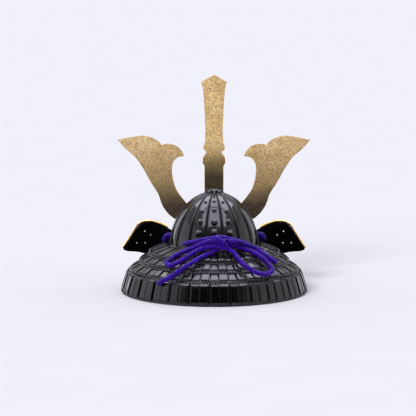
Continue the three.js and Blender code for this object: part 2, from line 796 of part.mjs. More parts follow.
const cordRoutes = {
  cord_threaded: threadedRoute,
  bow_loop_left: leftLoopRoute,
  bow_loop_right: rightLoopRoute,
  bow_tail_left: leftTailRoute,
  bow_tail_right: rightTailRoute,
};

// The whole, moved so that the origin lies under the middle of its outer box
const kabuto = new THREE.Group();
const rearReach = planLength(guard.skirtRadius) + guard.plateLift;
const visorFront = planLength(waistRadius + visor.reach + clearance + visor.rimWidth);
const frontReach = Math.max(visorFront, holderBack + holderDepth);
kabuto.position.y = (rearReach - frontReach) / 2;

kabuto.add(makeBowl(), makeCrownBoss(), ...tierProfiles().map(makeTier), ...makeVisor());
for (const [side, word] of [[-1, 'left'], [1, 'right']]) {
  kabuto.add(makeWing(side, word), makeWingRim(side, word), ...makeWingPins(side, word));
  kabuto.add(makeHorn(side, word));
}
kabuto.add(makeHolder(), makeBlade(), makeKnot());
for (const [name, route] of Object.entries(cordRoutes)) {
  kabuto.add(piece(name, cordTube(route, cord.radius), silk));
}

export default kabuto;
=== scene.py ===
"""A miniature kabuto: black enamelled casting, gilt crest, and a violet braided cord tied behind.

Lengths are millimetres round the bowl's upright axis until a mesh is made, and metres after.
+Z is up, +Y is the way the wearer faces, +X is the wearer's right.
"""

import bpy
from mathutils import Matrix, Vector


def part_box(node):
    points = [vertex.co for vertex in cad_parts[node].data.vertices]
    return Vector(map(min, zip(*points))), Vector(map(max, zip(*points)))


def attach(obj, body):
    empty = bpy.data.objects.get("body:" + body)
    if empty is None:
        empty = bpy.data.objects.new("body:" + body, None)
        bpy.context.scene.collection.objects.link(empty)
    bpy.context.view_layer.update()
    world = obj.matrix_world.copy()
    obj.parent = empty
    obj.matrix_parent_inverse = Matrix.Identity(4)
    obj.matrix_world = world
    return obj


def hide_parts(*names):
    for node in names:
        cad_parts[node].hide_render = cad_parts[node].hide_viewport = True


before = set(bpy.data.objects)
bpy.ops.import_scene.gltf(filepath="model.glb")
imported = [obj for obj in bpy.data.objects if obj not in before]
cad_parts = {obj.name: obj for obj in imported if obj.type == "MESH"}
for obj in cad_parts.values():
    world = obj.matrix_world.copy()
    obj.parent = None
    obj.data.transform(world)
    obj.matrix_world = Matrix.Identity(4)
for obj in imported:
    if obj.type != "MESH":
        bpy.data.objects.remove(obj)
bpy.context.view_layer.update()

import logging
import math
from dataclasses import dataclass, field
from enum import Enum
from functools import cache
from typing import Any, Mapping, Sequence

import bmesh
import bpy
import numpy as np
from mathutils import Vector

LOG = logging.getLogger("kabuto")
MM = 0.001
BODY = "root"
AXIS_Y = sum(corner[1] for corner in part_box("bowl")) / 2 / MM
CLEARANCE = 0.3
SAME_PLACE = 1e-6

Points = np.ndarray
Faces = list[tuple[int, ...]]
Route = Sequence[Sequence[float]]
Span = tuple[float, float, float, float]
Material = bpy.types.Material
Piece = bpy.types.Object
Tree = bpy.types.NodeTree
Outputs = bpy.types.bpy_prop_collection


class Slot(Enum):
    """The record's material slots."""

    BLACK = "black_gloss"
    CAST = "gilt_cast"
    BRIGHT = "gilt_bright"
    CORD = "purple_cord"


class Cap(Enum):
    """How the first and last ring of a skin are closed."""

    POLE = "a fan round a middle point"
    PLATE = "one flat face"


# Meshes


def in_metres(points: Points) -> Points:
    """Moves points from the bowl's axis in millimetres to the frame in metres."""
    return (np.asarray(points, dtype=float).reshape(-1, 3) + (0.0, AXIS_Y, 0.0)) * MM


def placed(name: str, data: bpy.types.ID | None) -> Piece:
    """Puts data into the scene as an object at the origin.

    Args:
        name: The object's name.
        data: Its mesh, lamp or camera.

    Returns:
        The linked object.
    """
    made = bpy.data.objects.new(name, data)
    bpy.context.scene.collection.objects.link(made)
    return made


def make_object(
    name: str, points: Points, faces: Faces, materials: Sequence[Material], sharp_degrees: float = 40.0
) -> Piece:
    """Makes a merged, outward facing and smooth shaded object at the origin.

    Args:
        name: The piece's name.
        points: Its points, in millimetres round the bowl's axis.
        faces: Its faces.
        materials: Its materials, the first one on every face.
        sharp_degrees: Edges that bend more than this stay sharp.

    Returns:
        The linked object.
    """
    mesh = bpy.data.meshes.new(name)
    mesh.from_pydata(in_metres(points).tolist(), [], faces)
    merged = bmesh.new()
    merged.from_mesh(mesh)
    bmesh.ops.remove_doubles(merged, verts=merged.verts, dist=SAME_PLACE)
    bmesh.ops.recalc_face_normals(merged, faces=merged.faces)
    merged.to_mesh(mesh)
    merged.free()
    for material in materials:
        mesh.materials.append(material)
    mesh.polygons.foreach_set("use_smooth", [True] * len(mesh.polygons))
    mesh.set_sharp_from_angle(angle=math.radians(sharp_degrees))
    return placed(name, mesh)


def skin(
    name: str, rings: Points, cap: Cap, materials: Sequence[Material], sharp_degrees: float = 40.0
) -> Piece:
    """Joins closed rings into a closed object.

    Args:
        name: The piece's name.
        rings: Points of each ring, shaped (rings, points, 3).
        cap: How both ends are closed.
        materials: Its materials, the first one on every face.
        sharp_degrees: Edges that bend more than this stay sharp.

    Returns:
        The linked object.
    """
    count, around = rings.shape[:2]
    points = rings.reshape(-1, 3)
    steps = [(i, (i + 1) % around) for i in range(around)]
    last = (count - 1) * around
    faces: Faces = [
        (start + i, start + j, start + around + j, start + around + i)
        for start in range(0, last, around)
        for i, j in steps
    ]
    if cap is Cap.PLATE:
        faces += [tuple(range(around - 1, -1, -1)), tuple(range(last, last + around))]
    else:
        low, high = len(points), len(points) + 1
        points = np.vstack([points, rings[0].mean(axis=0), rings[-1].mean(axis=0)])
        for i, j in steps:
            faces += [(low, j, i), (high, last + i, last + j)]
    return make_object(name, points, faces, materials, sharp_degrees)


def joined(name: str, parts: Sequence[Piece]) -> Piece:
    """Joins objects into one mesh object.

    Args:
        name: The name of the whole.
        parts: The objects, the first of which takes in the others.

    Returns:
        The whole.
    """
    bpy.ops.object.select_all(action="DESELECT")
    for part in parts:
        part.select_set(True)
    bpy.context.view_layer.objects.active = parts[0]
    bpy.ops.object.join()
    whole = bpy.context.view_layer.objects.active
    whole.name = whole.data.name = name
    return whole


def hand_over(piece: Piece, slot: Slot, *replaced: str) -> None:
    """Puts a finished piece on the helmet's body, in place of its CAD nodes.

    Args:
        piece: The piece.
        slot: Not used.
        replaced: The CAD nodes that it stands for.
    """
    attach(piece, BODY)
    if replaced:
        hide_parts(*replaced)
    LOG.info("%s: %d faces, replaces %s", piece.name, len(piece.data.polygons), replaced or "nothing")


# Lines and directions


def unit(vectors: Points) -> Points:
    """Scales one vector, or each row of several, to a length of 1."""
    return vectors / np.linalg.norm(vectors, axis=-1, keepdims=True)


def tangents(path: Points) -> Points:
    """Gives the unit direction of a path at each of its points."""
    return unit(np.gradient(path, axis=0))


def run_along(line: Points) -> Points:
    """Gives the length of a line up to each of its points."""
    return np.concatenate([[0.0], np.cumsum(np.linalg.norm(np.diff(line, axis=0), axis=1))])


def smooth_route(points: Route, spacing: float) -> Points:
    """Samples a centripetal Catmull-Rom curve through points at even steps.

    Args:
        points: The points that the curve passes through.
        spacing: The wanted distance between samples.

    Returns:
        The samples, the first and last on the first and last point.
    """
    knots = np.asarray(points, dtype=float)
    knots = np.vstack([2 * knots[0] - knots[1], knots, 2 * knots[-1] - knots[-2]])
    share = np.linspace(0.0, 1.0, 40, endpoint=False)[:, None]
    dense = []
    for p0, p1, p2, p3 in zip(knots, knots[1:], knots[2:], knots[3:]):
        d0, d1, d2 = (math.sqrt(np.linalg.norm(b - a)) for a, b in ((p0, p1), (p1, p2), (p2, p3)))
        start = ((p1 - p0) / d0 - (p2 - p0) / (d0 + d1) + (p2 - p1) / d1) * d1
        end = ((p2 - p1) / d1 - (p3 - p1) / (d1 + d2) + (p3 - p2) / d2) * d1
        square, cube = (-3 * p1 + 3 * p2 - 2 * start - end), (2 * p1 - 2 * p2 + start + end)
        dense.append(p1 + share * (start + share * (square + share * cube)))
    line = np.vstack([*dense, knots[-2:-1]])
    run = run_along(line)
    wanted = np.linspace(0.0, run[-1], max(2, round(run[-1] / spacing) + 1))
    return np.stack([np.interp(wanted, run, line[:, axis]) for axis in range(line.shape[1])], axis=1)


def on_oval(
    turn: Points | float, width: Points | float, length: Points | float, height: Points | float
) -> Points:
    """Gives points on ovals round the axis.

    Args:
        turn: Degrees from the rear towards +X.
        width: The oval's half width.
        length: Its half length.
        height: Its height.

    Returns:
        The points, in the last axis of the array.
    """
    angle = np.radians(turn)
    x, y, z = np.broadcast_arrays(width * np.sin(angle), -length * np.cos(angle), height)
    return np.stack([x, y, z], axis=-1)


def bar_section(width: float, depth: float, wide_power: float, deep_power: float) -> Points:
    """Gives a bar's section, between an oval and a box.

    Args:
        width: Its width.
        depth: Its depth.
        wide_power: 1 for an oval's sides, less for flatter ones.
        deep_power: The same for its ends.

    Returns:
        The section's points, along its width and depth.
    """
    angles = np.linspace(0, 2 * math.pi, 16, endpoint=False)
    sides = ((width, np.cos(angles), wide_power), (depth, np.sin(angles), deep_power))
    section = [size / 2 * np.sign(reach) * np.abs(reach) ** power for size, reach, power in sides]
    return np.stack(section, axis=1)


# Node trees


def add_node(
    tree: Tree, kind: str, inputs: Mapping[str | int, Any] | Sequence[Any] = (), **settings: Any
) -> Outputs:
    """Adds a node, sets its settings, and fills or links its inputs.

    Args:
        tree: The tree that gets the node.
        kind: The node's type name.
        inputs: A value, an output or a list of outputs for each input, by name or number or in order.
        settings: Attributes of the node.

    Returns:
        The node's outputs.
    """
    node = tree.nodes.new(kind)
    for name, value in settings.items():
        setattr(node, name, value)
    for socket, given in (inputs if isinstance(inputs, Mapping) else dict(enumerate(inputs))).items():
        for value in given if isinstance(given, list) else [given]:
            if isinstance(value, bpy.types.NodeSocket):
                tree.links.new(value, node.inputs[socket])
            else:
                node.inputs[socket].default_value = value
    return node.outputs


def colour(code: str) -> tuple[float, float, float, float]:
    """Turns an sRGB colour into a linear one.

    Args:
        code: Its hex code.

    Returns:
        The linear colour with full alpha.
    """
    shares = [int(code[i : i + 2], 16) / 255 for i in (1, 3, 5)]
    linear = [s / 12.92 if s <= 0.04045 else ((s + 0.055) / 1.055) ** 2.4 for s in shares]
    return (*linear, 1.0)


def per_metre(millimetres: float) -> float:
    """Gives the texture scale whose features are about this size."""
    return 1.0 / (millimetres * MM)


# Finishes


@dataclass(frozen=True)
class Noise:
    """A noise pattern: the size of its features in millimetres, its detail, roughness and squeeze."""

    size: float
    detail: float = 2.0
    roughness: float = 0.5
    squeeze: tuple[float, float, float] | None = None


class Paint:
    """A material under way: its node tree, its patterns, and the colour they have given so far."""

    def __init__(self, name: str, ground: str, **noises: Noise) -> None:
        """Starts a material on Object coordinates.

        Args:
            name: The material's name.
            ground: The colour under the others.
            noises: Its noise patterns.
        """
        self.material = bpy.data.materials.new(name)
        self.material.use_nodes = True
        self.tree = self.material.node_tree
        self.tree.nodes.clear()
        self.place = add_node(self.tree, "ShaderNodeTexCoord")["Object"]
        self.colour: Any = colour(ground)
        self.patterns: dict[str, bpy.types.NodeSocket] = {}
        for label, noise in noises.items():
            place = self.place
            if noise.squeeze:
                place = add_node(self.tree, "ShaderNodeMapping", {"Vector": place, "Scale": noise.squeeze})[0]
            inputs = {"Vector": place, "Scale": per_metre(noise.size)}
            inputs |= {"Detail": noise.detail, "Roughness": noise.roughness}
            self.patterns[label] = add_node(self.tree, "ShaderNodeTexNoise", inputs)["Fac"]

    def cover(self, pattern: str, span: Span, code: str) -> None:
        """Lays a colour over those so far, as strongly as a pattern says.

        Args:
            pattern: The pattern's name.
            span: Its low and high value, and the colour's share at each of them.
            code: The colour.
        """
        share = add_node(self.tree, "ShaderNodeMapRange", (self.patterns[pattern], *span))[0]
        inputs = {0: share, 6: self.colour, 7: colour(code)}
        self.colour = add_node(self.tree, "ShaderNodeMix", inputs, data_type="RGBA")[2]

    def finish(
        self,
        plain: Mapping[str, Any],
        gloss: tuple[str, Span] | None = None,
        relief: tuple[str, float] | None = None,
    ) -> Material:
        """Ends the tree in a Principled shader.

        Args:
            plain: The shader's plain inputs.
            gloss: The pattern of the roughness, and its span.
            relief: The pattern that bumps the surface, and its depth in millimetres.

        Returns:
            The finished material.
        """
        inputs = {**plain, "Base Color": self.colour}
        if gloss:
            pattern, span = gloss
            dulling = (self.patterns[pattern], *span)
            inputs["Roughness"] = add_node(self.tree, "ShaderNodeMapRange", dulling)[0]
        if relief:
            pattern, depth = relief
            bump = {"Height": self.patterns[pattern], "Strength": 1.0, "Distance": depth * MM}
            inputs["Normal"] = add_node(self.tree, "ShaderNodeBump", bump)[0]
        shader = add_node(self.tree, "ShaderNodeBsdfPrincipled", inputs)
        add_node(self.tree, "ShaderNodeOutputMaterial", (shader["BSDF"],))
        return self.material


@dataclass(frozen=True)
class BlackEnamel:
    """Black stoving enamel, sprayed on a zinc casting and baked.

    It gives the eye a near black, mirror-like skin whose reflections wobble a little with the
    spray's orange peel, dull slightly in hand-rubbed patches, and hold a few fine dust specks.
    The specks are drawn several times too coarse, so that they show.
    """

    name: str = "black_baked_enamel"
    deep: str = "#020203"
    worn: str = "#08090B"
    dust: str = "#54565C"
    roughness: tuple[float, float] = (0.06, 0.16)
    rubbed_mm: float = 9.0
    haze_mm: float = 3.0
    peel_mm: float = 1.3
    peel_depth_mm: float = 0.016
    speck_mm: float = 2.2
    ior: float = 1.5

    def material(self) -> Material:
        """Builds the node material.

        Returns:
            The material.
        """
        noises = {"rubbed": Noise(self.rubbed_mm, 3.0), "haze": Noise(self.haze_mm, 4.0, 0.6)}
        paint = Paint(self.name, self.deep, **noises, peel=Noise(self.peel_mm, 1.0))
        cells = {"Vector": paint.place, "Scale": per_metre(self.speck_mm)}
        paint.patterns["specks"] = add_node(paint.tree, "ShaderNodeTexVoronoi", cells)["Distance"]
        paint.cover("rubbed", (0.42, 0.68, 0.0, 1.0), self.worn)
        paint.cover("specks", (0.05, 0.09, 0.35, 0.0), self.dust)
        gloss = ("haze", (0.35, 0.7, *self.roughness))
        return paint.finish({"IOR": self.ior}, gloss, ("peel", self.peel_depth_mm))


@dataclass(frozen=True)
class CastGilt:
    """Gold-lacquered zinc straight from the mould, on the crest's unpolished back.

    It gives the eye a matt tan metal with a sandy grain, dark pits in the grain, and a painted
    shade that deepens to dark brown towards the crest's root, standing in for the shadow and the
    dark bowl's reflection there. The grain of the mould is about 0.3 mm. It is drawn three times
    coarser, so that it shows.
    """

    name: str = "cast_gilt_zinc"
    gold: str = "#E9C995"
    shade: str = "#CAA870"
    # The two colours below: painted shade and painted reflection of the dark bowl, darkening towards the
    # crest's foot.
    lower_shade: str = "#A68B5A"
    root: str = "#2C211A"
    pit: str = "#634E34"
    cloud_mm: float = 9.0
    drift_mm: float = 12.0
    grain_mm: float = 0.95
    grain_depth_mm: float = 0.2
    root_shade_mm: float = 49.0
    lower_shade_mm: float = 62.0
    unshaded_mm: float = 82.0
    metallic: float = 0.1

    def material(self) -> Material:
        """Builds the node material.

        Returns:
            The material.
        """
        noises = {"clouds": Noise(self.cloud_mm, 4.0, 0.6), "grain": Noise(self.grain_mm, 3.0, 0.65)}
        paint = Paint(self.name, self.gold, **noises)
        height = add_node(paint.tree, "ShaderNodeSeparateXYZ", (paint.place,))["Z"]
        drift = (paint.patterns["clouds"], self.drift_mm * MM, height)
        paint.patterns["drift"] = add_node(paint.tree, "ShaderNodeMath", drift, operation="MULTIPLY_ADD")[0]
        # Darker in two steps towards the foot, by height: painted shade and painted reflection of the dark
        # bowl.
        heights = (self.root_shade_mm, self.lower_shade_mm, self.unshaded_mm)
        root, lower_shade, unshaded = ((mm + self.drift_mm / 2) * MM for mm in heights)
        paint.cover("clouds", (0.35, 0.65, 0.0, 1.0), self.shade)
        paint.cover("drift", (lower_shade, unshaded, 1.0, 0.0), self.lower_shade)
        paint.cover("drift", (root, lower_shade, 1.0, 0.0), self.root)
        paint.cover("grain", (0.36, 0.58, 0.68, 0.0), self.pit)
        gloss = ("grain", (0.3, 0.7, 0.7, 0.48))
        return paint.finish({"Metallic": self.metallic}, gloss, ("grain", self.grain_depth_mm))


@dataclass(frozen=True)
class BrightGilt:
    """Polished gold-lacquered zinc, on rims, pins, the holder and the crest's edges and face.

    It gives the eye a warm bright metal with soft streaks from the buffing wheel and slightly
    duller, redder places where the lacquer is thin. A wheel's scratches are about 0.05 mm wide.
    They are drawn as broader streaks, so that they show.
    """

    name: str = "polished_gilt_zinc"
    gold: str = "#F0CA80"
    thin: str = "#CF9A50"
    roughness: tuple[float, float] = (0.16, 0.3)
    cloud_mm: float = 6.0
    streak_mm: float = 0.7
    streak_depth_mm: float = 0.006

    def material(self) -> Material:
        """Builds the node material.

        Returns:
            The material.
        """
        streaks = Noise(self.streak_mm, squeeze=(1.0, 1.0, 0.2))
        paint = Paint(self.name, self.gold, streaks=streaks, clouds=Noise(self.cloud_mm, 3.0))
        paint.cover("clouds", (0.5, 0.8, 0.0, 0.5), self.thin)
        gloss = ("streaks", (0.3, 0.7, *self.roughness))
        return paint.finish({"Metallic": 1.0}, gloss, ("streaks", self.streak_depth_mm))


@dataclass(frozen=True)
class BraidedSilk:
    """Round braid of dyed rayon floss, eight strands over a core.

    It gives the eye a vivid violet with a soft sheen along each strand, the fuzz of fine fibres,
    and a painted shade, near black, where the strands dive under each other. Fibres are about
    0.02 mm thick. They are drawn as tufts of 0.16 mm, so that they show.
    """

    name: str = "violet_rayon_braid"
    bright: str = "#5C28E2"
    dark: str = "#2D0A88"
    under_strand_shade: str = "#07011A"
    sheen: str = "#8450FF"
    sheen_level: float = 0.34
    roughness: float = 0.4
    dye_mm: float = 2.4
    fibre_mm: float = 0.16
    fibre_depth_mm: float = 0.03

    def material(self) -> Material:
        """Builds the node material, on Object coordinates and the cord's own relief attribute.

        Returns:
            The material.
        """
        noises = {"fibres": Noise(self.fibre_mm, 2.0, 0.7), "dye": Noise(self.dye_mm)}
        paint = Paint(self.name, self.bright, **noises)
        paint.patterns["relief"] = add_node(paint.tree, "ShaderNodeAttribute", attribute_name="relief")["Fac"]
        paint.cover("dye", (0.35, 0.65, 0.0, 0.7), self.dark)
        paint.cover("fibres", (0.3, 0.7, 0.0, 0.45), self.dark)
        # Painted shade: the lowest places of the braid's relief, where the strands dive under, turn near
        # black.
        paint.cover("relief", (0.56, 1.0, 0.97, 0.0), self.under_strand_shade)
        plain = {"Roughness": self.roughness, "Specular IOR Level": self.sheen_level}
        plain["Specular Tint"] = colour(self.sheen)
        return paint.finish(plain, relief=("fibres", self.fibre_depth_mm))


@dataclass(frozen=True)
class PaleBoard:
    """Matt white painted board that the helmet stands on.

    It gives the eye an even pale ground with the faintest roller texture.
    """

    name: str = "matt_white_board"
    white: str = "#F2F2F7"
    grey: str = "#EEEEF4"
    mottle_mm: float = 40.0

    def material(self) -> Material:
        """Builds the node material.

        Returns:
            The material.
        """
        paint = Paint(self.name, self.white, mottle=Noise(self.mottle_mm))
        paint.cover("mottle", (0.0, 1.0, 0.0, 1.0), self.grey)
        return paint.finish({"Roughness": 0.9, "Specular IOR Level": 0.0})


BLACK = BlackEnamel()
# Dull black: on the wings' backs, and as painted shade in the grooves between the bowl's rib wires.
DULL_BLACK = BlackEnamel(
    "black_satin_enamel", deep="#010102", worn="#030304", dust="#1C1D20", roughness=(0.4, 0.55), ior=1.14
)
RUBBED_BLACK = BlackEnamel(
    "black_rubbed_enamel", deep="#0C0C10", worn="#17171C", roughness=(0.22, 0.34)
)
# Grey enamel on the beads and stitches: a painted highlight, a lighter grey that stands in for the glints on
# their crests.
BEAD_HIGHLIGHT_GREY = BlackEnamel(
    "grey_enamel_painted_bead_highlight", deep="#26262A", worn="#424348", dust="#8A8C92", roughness=(0.12, 0.24)
)
PIN_END = BrightGilt("peened_pin_end", gold="#F6F0E4", thin="#D2CABC", roughness=(0.3, 0.45))
# The blade's lower part takes the same painted shade and painted reflection of the dark bowl, starting higher
# up.
BLADE_CAST = CastGilt(
    "cast_gilt_zinc_blade",
    gold="#EDCA8E",
    shade="#CFAA6C",
    lower_shade="#7E6A3A",
    root="#2A250E",
    pit="#54462A",
    root_shade_mm=64.0,
    lower_shade_mm=73.0,
    unshaded_mm=84.0,
)


@dataclass
class Finishes:
    """Every finish of the helmet, made once."""

    black: Material = field(default_factory=BLACK.material)
    satin: Material = field(default_factory=DULL_BLACK.material)
    plates: Material = field(default_factory=RUBBED_BLACK.material)
    # Grey for the beads and stitches: a painted highlight.
    edges: Material = field(default_factory=BEAD_HIGHLIGHT_GREY.material)
    pin_end: Material = field(default_factory=PIN_END.material)
    cast: Material = field(default_factory=CastGilt().material)
    blade_cast: Material = field(default_factory=BLADE_CAST.material)
    bright: Material = field(default_factory=BrightGilt().material)
    silk: Material = field(default_factory=BraidedSilk().material)


# Repeated things


def open_tree(name: str, sizes: Mapping[str, float]) -> tuple[Tree, Outputs]:
    """Starts a Geometry Nodes tree.

    Args:
        name: The tree's name.
        sizes: The named number inputs and their default values.

    Returns:
        The tree and what is given to it: Geometry, Material and the sizes.
    """
    tree = bpy.data.node_groups.new(name, "GeometryNodeTree")
    for label, way in (("Geometry", "OUTPUT"), ("Geometry", "INPUT"), ("Material", "INPUT")):
        tree.interface.new_socket(label, in_out=way, socket_type=f"NodeSocket{label}")
    for label, value in sizes.items():
        socket = tree.interface.new_socket(label, in_out="INPUT", socket_type="NodeSocketFloat")
        socket.default_value = value
    return tree, add_node(tree, "NodeGroupInput")


def close_tree(tree: Tree, given: Outputs, shape: bpy.types.NodeSocket) -> Tree:
    """Ends a tree in real, smooth geometry with the given material.

    Args:
        tree: The tree.
        given: What is given to it.
        shape: The geometry that it has made.

    Returns:
        The tree.
    """
    real = add_node(tree, "GeometryNodeRealizeInstances", (shape,))
    smooth = add_node(tree, "GeometryNodeSetShadeSmooth", (real[0],))
    dressed = {"Geometry": smooth[0], "Material": given["Material"]}
    add_node(tree, "NodeGroupOutput", (add_node(tree, "GeometryNodeSetMaterial", dressed)[0],))
    return tree


def set_on_points(tree: Tree, given: Outputs, thing: bpy.types.NodeSocket) -> Tree:
    """Ends a tree in one thing on every point.

    Each copy's +Z is turned to its point's outward attribute and its +X to its across attribute,
    and it is scaled by its size attribute.

    Args:
        tree: The tree.
        given: What is given to it.
        thing: The geometry to repeat.

    Returns:
        The tree.
    """
    outward, across, size = (
        add_node(tree, "GeometryNodeInputNamedAttribute", (label,), data_type="FLOAT_VECTOR")[0]
        for label in ("outward", "across", "size")
    )
    aligned = "FunctionNodeAlignRotationToVector"
    upright = add_node(tree, aligned, {"Vector": outward}, axis="Z")[0]
    turned = add_node(tree, aligned, {"Rotation": upright, "Vector": across}, axis="X", pivot_axis="Z")[0]
    copies = {"Points": given["Geometry"], "Instance": thing, "Rotation": turned, "Scale": size}
    return close_tree(tree, given, add_node(tree, "GeometryNodeInstanceOnPoints", copies)[0])


def upright_curve(tree: Tree, given: Outputs) -> bpy.types.NodeSocket:
    """Turns the given edges into a curve whose normals stand across the vertical.

    Args:
        tree: The tree.
        given: What is given to it.

    Returns:
        The curve.
    """
    curve = add_node(tree, "GeometryNodeMeshToCurve", {"Mesh": given["Geometry"]})[0]
    return add_node(tree, "GeometryNodeSetCurveNormal", {"Curve": curve}, mode="Z_UP")[0]


@cache
def dome_tree() -> Tree:
    """Domed heads on points, each a flattened ball with a thin washer round its foot.

    Returns:
        The tree.
    """
    tree, given = open_tree("domed_heads", {"Fullness": 0.7, "Washer": 1.0})
    ball = add_node(tree, "GeometryNodeMeshUVSphere", {"Segments": 20, "Rings": 12, "Radius": 0.5})["Mesh"]
    parts = []
    for scale in ((0.86, 0.86, given["Fullness"]), (given["Washer"], given["Washer"], 0.22)):
        size = add_node(tree, "ShaderNodeCombineXYZ", scale)[0]
        parts.append(add_node(tree, "GeometryNodeTransform", {"Geometry": ball, "Scale": size})[0])
    return set_on_points(tree, given, add_node(tree, "GeometryNodeJoinGeometry", {0: parts})[0])


@cache
def plate_tree() -> Tree:
    """Pillowed plates on points: a unit slab that narrows upwards and falls off at its edges.

    Returns:
        The tree.
    """
    sizes = {"Narrowing": 0.1, "Edge Drop": 0.6, "Edge Sharpness": 8.0}
    tree, given = open_tree("lapped_plates", sizes)
    cuts = {"Size": (1.0, 1.0, 1.0), "Vertices X": 9, "Vertices Y": 9, "Vertices Z": 2}
    slab = add_node(tree, "GeometryNodeMeshCube", cuts)["Mesh"]
    place = add_node(tree, "ShaderNodeSeparateXYZ", (add_node(tree, "GeometryNodeInputPosition")[0],))
    known = {"x": place[0], "y": place[1], "z": place[2], **{label: given[label] for label in sizes}}
    for label, operation, *terms in (
        ("twice x", "MULTIPLY", "x", 2.0),
        ("share x", "ABSOLUTE", "twice x"),
        ("side", "POWER", "share x", "Edge Sharpness"),
        ("twice y", "MULTIPLY", "y", 2.0),
        ("share y", "ABSOLUTE", "twice y"),
        ("end", "POWER", "share y", "Edge Sharpness"),
        ("side or end", "ADD", "side", "end"),
        ("edge", "MINIMUM", "side or end", 1.0),
        ("drop", "MULTIPLY", "edge", "Edge Drop"),
        ("raised", "MAXIMUM", "z", 0.0),
        ("fall", "MULTIPLY", "raised", "drop"),
        ("new z", "SUBTRACT", "z", "fall"),
        ("taper", "MULTIPLY", "Narrowing", -1.0),
        ("narrowed", "MULTIPLY_ADD", "y", "taper", 1.0),
        ("new x", "MULTIPLY", "x", "narrowed"),
    ):
        values = [known.get(term, term) for term in terms]
        known[label] = add_node(tree, "ShaderNodeMath", values, operation=operation)[0]
    moved = add_node(tree, "ShaderNodeCombineXYZ", (known["new x"], known["y"], known["new z"]))[0]
    shaped = add_node(tree, "GeometryNodeSetPosition", {"Geometry": slab, "Position": moved})[0]
    return set_on_points(tree, given, shaped)


@cache
def bead_tree() -> Tree:
    """Slanted beads strung at an even pitch along paths, which read as a rope or a row of lacing.

    Returns:
        The tree.
    """
    sizes = {"Pitch": 1.5, "Length": 1.5, "Width": 0.8, "Depth": 0.8, "Slant": 0.6}
    tree, given = open_tree("strung_beads", sizes)
    spaced = {"Curve": upright_curve(tree, given), "Length": given["Pitch"]}
    strung = add_node(tree, "GeometryNodeCurveToPoints", spaced, mode="LENGTH")
    ball = add_node(tree, "GeometryNodeMeshUVSphere", {"Segments": 8, "Rings": 6, "Radius": 0.5})["Mesh"]
    size = add_node(tree, "ShaderNodeCombineXYZ", [given[label] for label in ("Depth", "Width", "Length")])[0]
    bead = add_node(tree, "GeometryNodeTransform", {"Geometry": ball, "Scale": size})[0]
    slant = add_node(tree, "ShaderNodeCombineXYZ", (given["Slant"], 0.0, 0.0))[0]
    leaning = {
        "Rotation": strung["Rotation"],
        "Rotate By": add_node(tree, "FunctionNodeEulerToRotation", (slant,))[0],
    }
    lean = add_node(tree, "FunctionNodeRotateRotation", leaning, rotation_space="LOCAL")[0]
    copies = {"Points": strung["Points"], "Instance": bead, "Rotation": lean}
    return close_tree(tree, given, add_node(tree, "GeometryNodeInstanceOnPoints", copies)[0])


@cache
def rib_tree() -> Tree:
    """Ribs along paths: two wires on a low band, thinned by each point's share.

    Returns:
        The tree.
    """
    sizes = {"Wire Radius": 0.3, "Wire Spread": 0.5, "Wire Lift": 0.3, "Band Width": 0.8, "Band Height": 0.3}
    tree, given = open_tree("double_ribs", sizes)
    curve = upright_curve(tree, given)
    share = add_node(tree, "GeometryNodeInputNamedAttribute", ("share",), data_type="FLOAT")[0]
    thinned = add_node(tree, "GeometryNodeSetCurveRadius", {"Curve": curve, "Radius": share})[0]
    circle = "GeometryNodeCurvePrimitiveCircle"
    wire = add_node(tree, circle, {"Resolution": 8, "Radius": given["Wire Radius"]})["Curve"]
    band = add_node(tree, circle, {"Resolution": 12, "Radius": 1.0})["Curve"]
    flat = add_node(tree, "ShaderNodeCombineXYZ", (given["Band Width"], given["Band Height"], 1.0))[0]
    sections = [add_node(tree, "GeometryNodeTransform", {"Geometry": band, "Scale": flat})[0]]
    for side in (-1.0, 1.0):
        offset = add_node(tree, "ShaderNodeMath", (given["Wire Spread"], side), operation="MULTIPLY")[0]
        aside = add_node(tree, "ShaderNodeCombineXYZ", (offset, given["Wire Lift"], 0.0))[0]
        sections.append(add_node(tree, "GeometryNodeTransform", {"Geometry": wire, "Translation": aside})[0])
    profile = add_node(tree, "GeometryNodeJoinGeometry", {0: sections})[0]
    swept = {"Curve": thinned, "Profile Curve": profile, "Scale": share, "Fill Caps": True}
    return close_tree(tree, given, add_node(tree, "GeometryNodeCurveToMesh", swept)[0])


@dataclass
class Spots:
    """Places for copies of one thing, each with two directions and a size, in millimetres."""

    places: list[Points] = field(default_factory=list)
    outward: list[Points] = field(default_factory=list)
    across: list[Points] = field(default_factory=list)
    sizes: list[tuple[float, float, float]] = field(default_factory=list)

    def add(self, place: Points, outward: Points, across: Points, size: tuple[float, float, float]) -> None:
        """Adds a place.

        Args:
            place: The copy's middle.
            outward: Where its +Z points.
            across: Where its +X points.
            size: Its size along X, Y and Z.
        """
        self.places.append(place)
        self.outward.append(outward)
        self.across.append(across)
        self.sizes.append(size)


